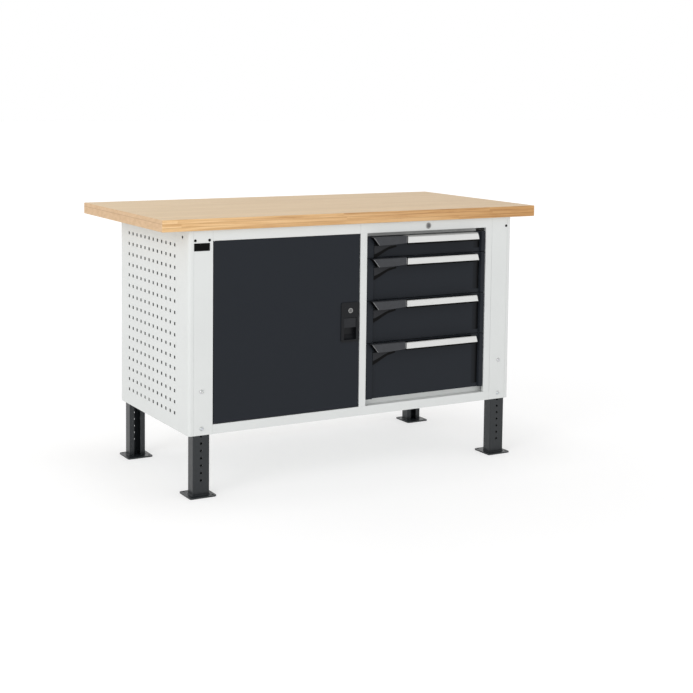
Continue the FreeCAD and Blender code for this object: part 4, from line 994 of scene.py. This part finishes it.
def make_floor():
    """A plain white floor that glows as painted light, a little more away from the bench, so the dimmer glow
    near the bench is a painted shadow.
    """
    bpy.ops.mesh.primitive_plane_add(size=90, location=(0, 0, 0))
    floor = bpy.context.object
    floor.name = "studio_floor"
    shader = Shader("studio_floor", (0.56, 0.56, 0.56), 0.85, specular=0.05)
    soft = shader.noise(shader.place, 1.3, detail=2)
    shader.set(Base_Color=shader.ramp(soft, [(0.3, (0.555, 0.555, 0.555)), (0.7, (0.565, 0.565, 0.565))]))
    x, y = shader.split(shader.place)[:2]
    squares = [shader.math("MULTIPLY", axis, axis) for axis in (x, y)]
    reach = shader.math("SQRT", shader.math("ADD", *squares))
    near_bench, far_off = 1.2, 5.0
    # painted light: the floor's own glow, weaker near the bench as a painted shadow
    glow = shader.remap(reach, near_bench, far_off, 0.47, 0.64)
    shader.set(Emission_Color=(1, 1, 1, 1), Emission_Strength=glow)
    floor.data.materials.append(shader.material)


def make_light(name, place, aim, size, power):
    """A soft rectangular lamp at place, pointing at aim."""
    data = bpy.data.lights.new(name, "AREA")
    data.shape = "RECTANGLE"
    data.size, data.size_y = size
    data.energy = power
    light = bpy.data.objects.new(name, data)
    bpy.context.scene.collection.objects.link(light)
    light.location = place
    light.rotation_mode = "QUATERNION"
    light.rotation_quaternion = (Vector(aim) - Vector(place)).to_track_quat("-Z", "Y")


def make_world(horizon, zenith):
    """A white studio: strength horizon low down, running to strength zenith overhead."""
    world = bpy.data.worlds.new("studio")
    bpy.context.scene.world = world
    world.use_nodes = True
    tree = world.node_tree
    background = tree.nodes["Background"]
    background.inputs["Color"].default_value = (1, 1, 1, 1)
    split = tree.nodes.new("ShaderNodeSeparateXYZ")
    rise = tree.nodes.new("ShaderNodeMapRange")
    tree.links.new(tree.nodes.new("ShaderNodeTexCoord").outputs["Generated"], split.inputs[0])
    tree.links.new(split.outputs[2], rise.inputs[0])
    low_rise, high_rise = 0.10, 0.80
    for index, value in enumerate((low_rise, high_rise, horizon, zenith), start=1):
        rise.inputs[index].default_value = value
    tree.links.new(rise.outputs[0], background.inputs["Strength"])


def make_camera(place, azimuth, elevation, roll, lens, shift_y):
    """A camera at place, looking azimuth degrees right of +Y and elevation degrees up, turned by roll."""
    data = bpy.data.cameras.new("camera")
    data.lens = lens
    data.shift_y = shift_y
    camera = bpy.data.objects.new("camera", data)
    bpy.context.scene.collection.objects.link(camera)
    side, rise, tilt = (math.radians(angle) for angle in (azimuth, elevation, roll))
    forward = Vector((math.sin(side) * math.cos(rise), math.cos(side) * math.cos(rise), math.sin(rise)))
    right = Vector((math.cos(side), -math.sin(side), 0))
    up = right.cross(forward)
    right, up = right * math.cos(tilt) + up * math.sin(tilt), up * math.cos(tilt) - right * math.sin(tilt)
    turn = Matrix((right, up, -forward)).transposed().to_4x4()
    camera.matrix_world = Matrix.Translation(place) @ turn
    bpy.context.scene.camera = camera


make_floor()
make_world(1.0, 0.72)
make_light("key_light", (-5.0, -2.4, 3.0), (-0.2, 0, 0.6), (2.2, 2.2), 56)
make_light("top_light", (0.0, 0.1, 4.6), (0, 0, 0), (1.3, 1.3), 30)
make_light("fill_light", (-2.6, -6.0, 1.3), (0, 0, 0.5), (2.4, 1.6), 34)
make_camera((-2.45135, -4.49564, 1.36022), 30.0333, -4.8058, 0.6593, 71.764, -0.20418)
bpy.context.scene.view_settings.view_transform = "Standard"
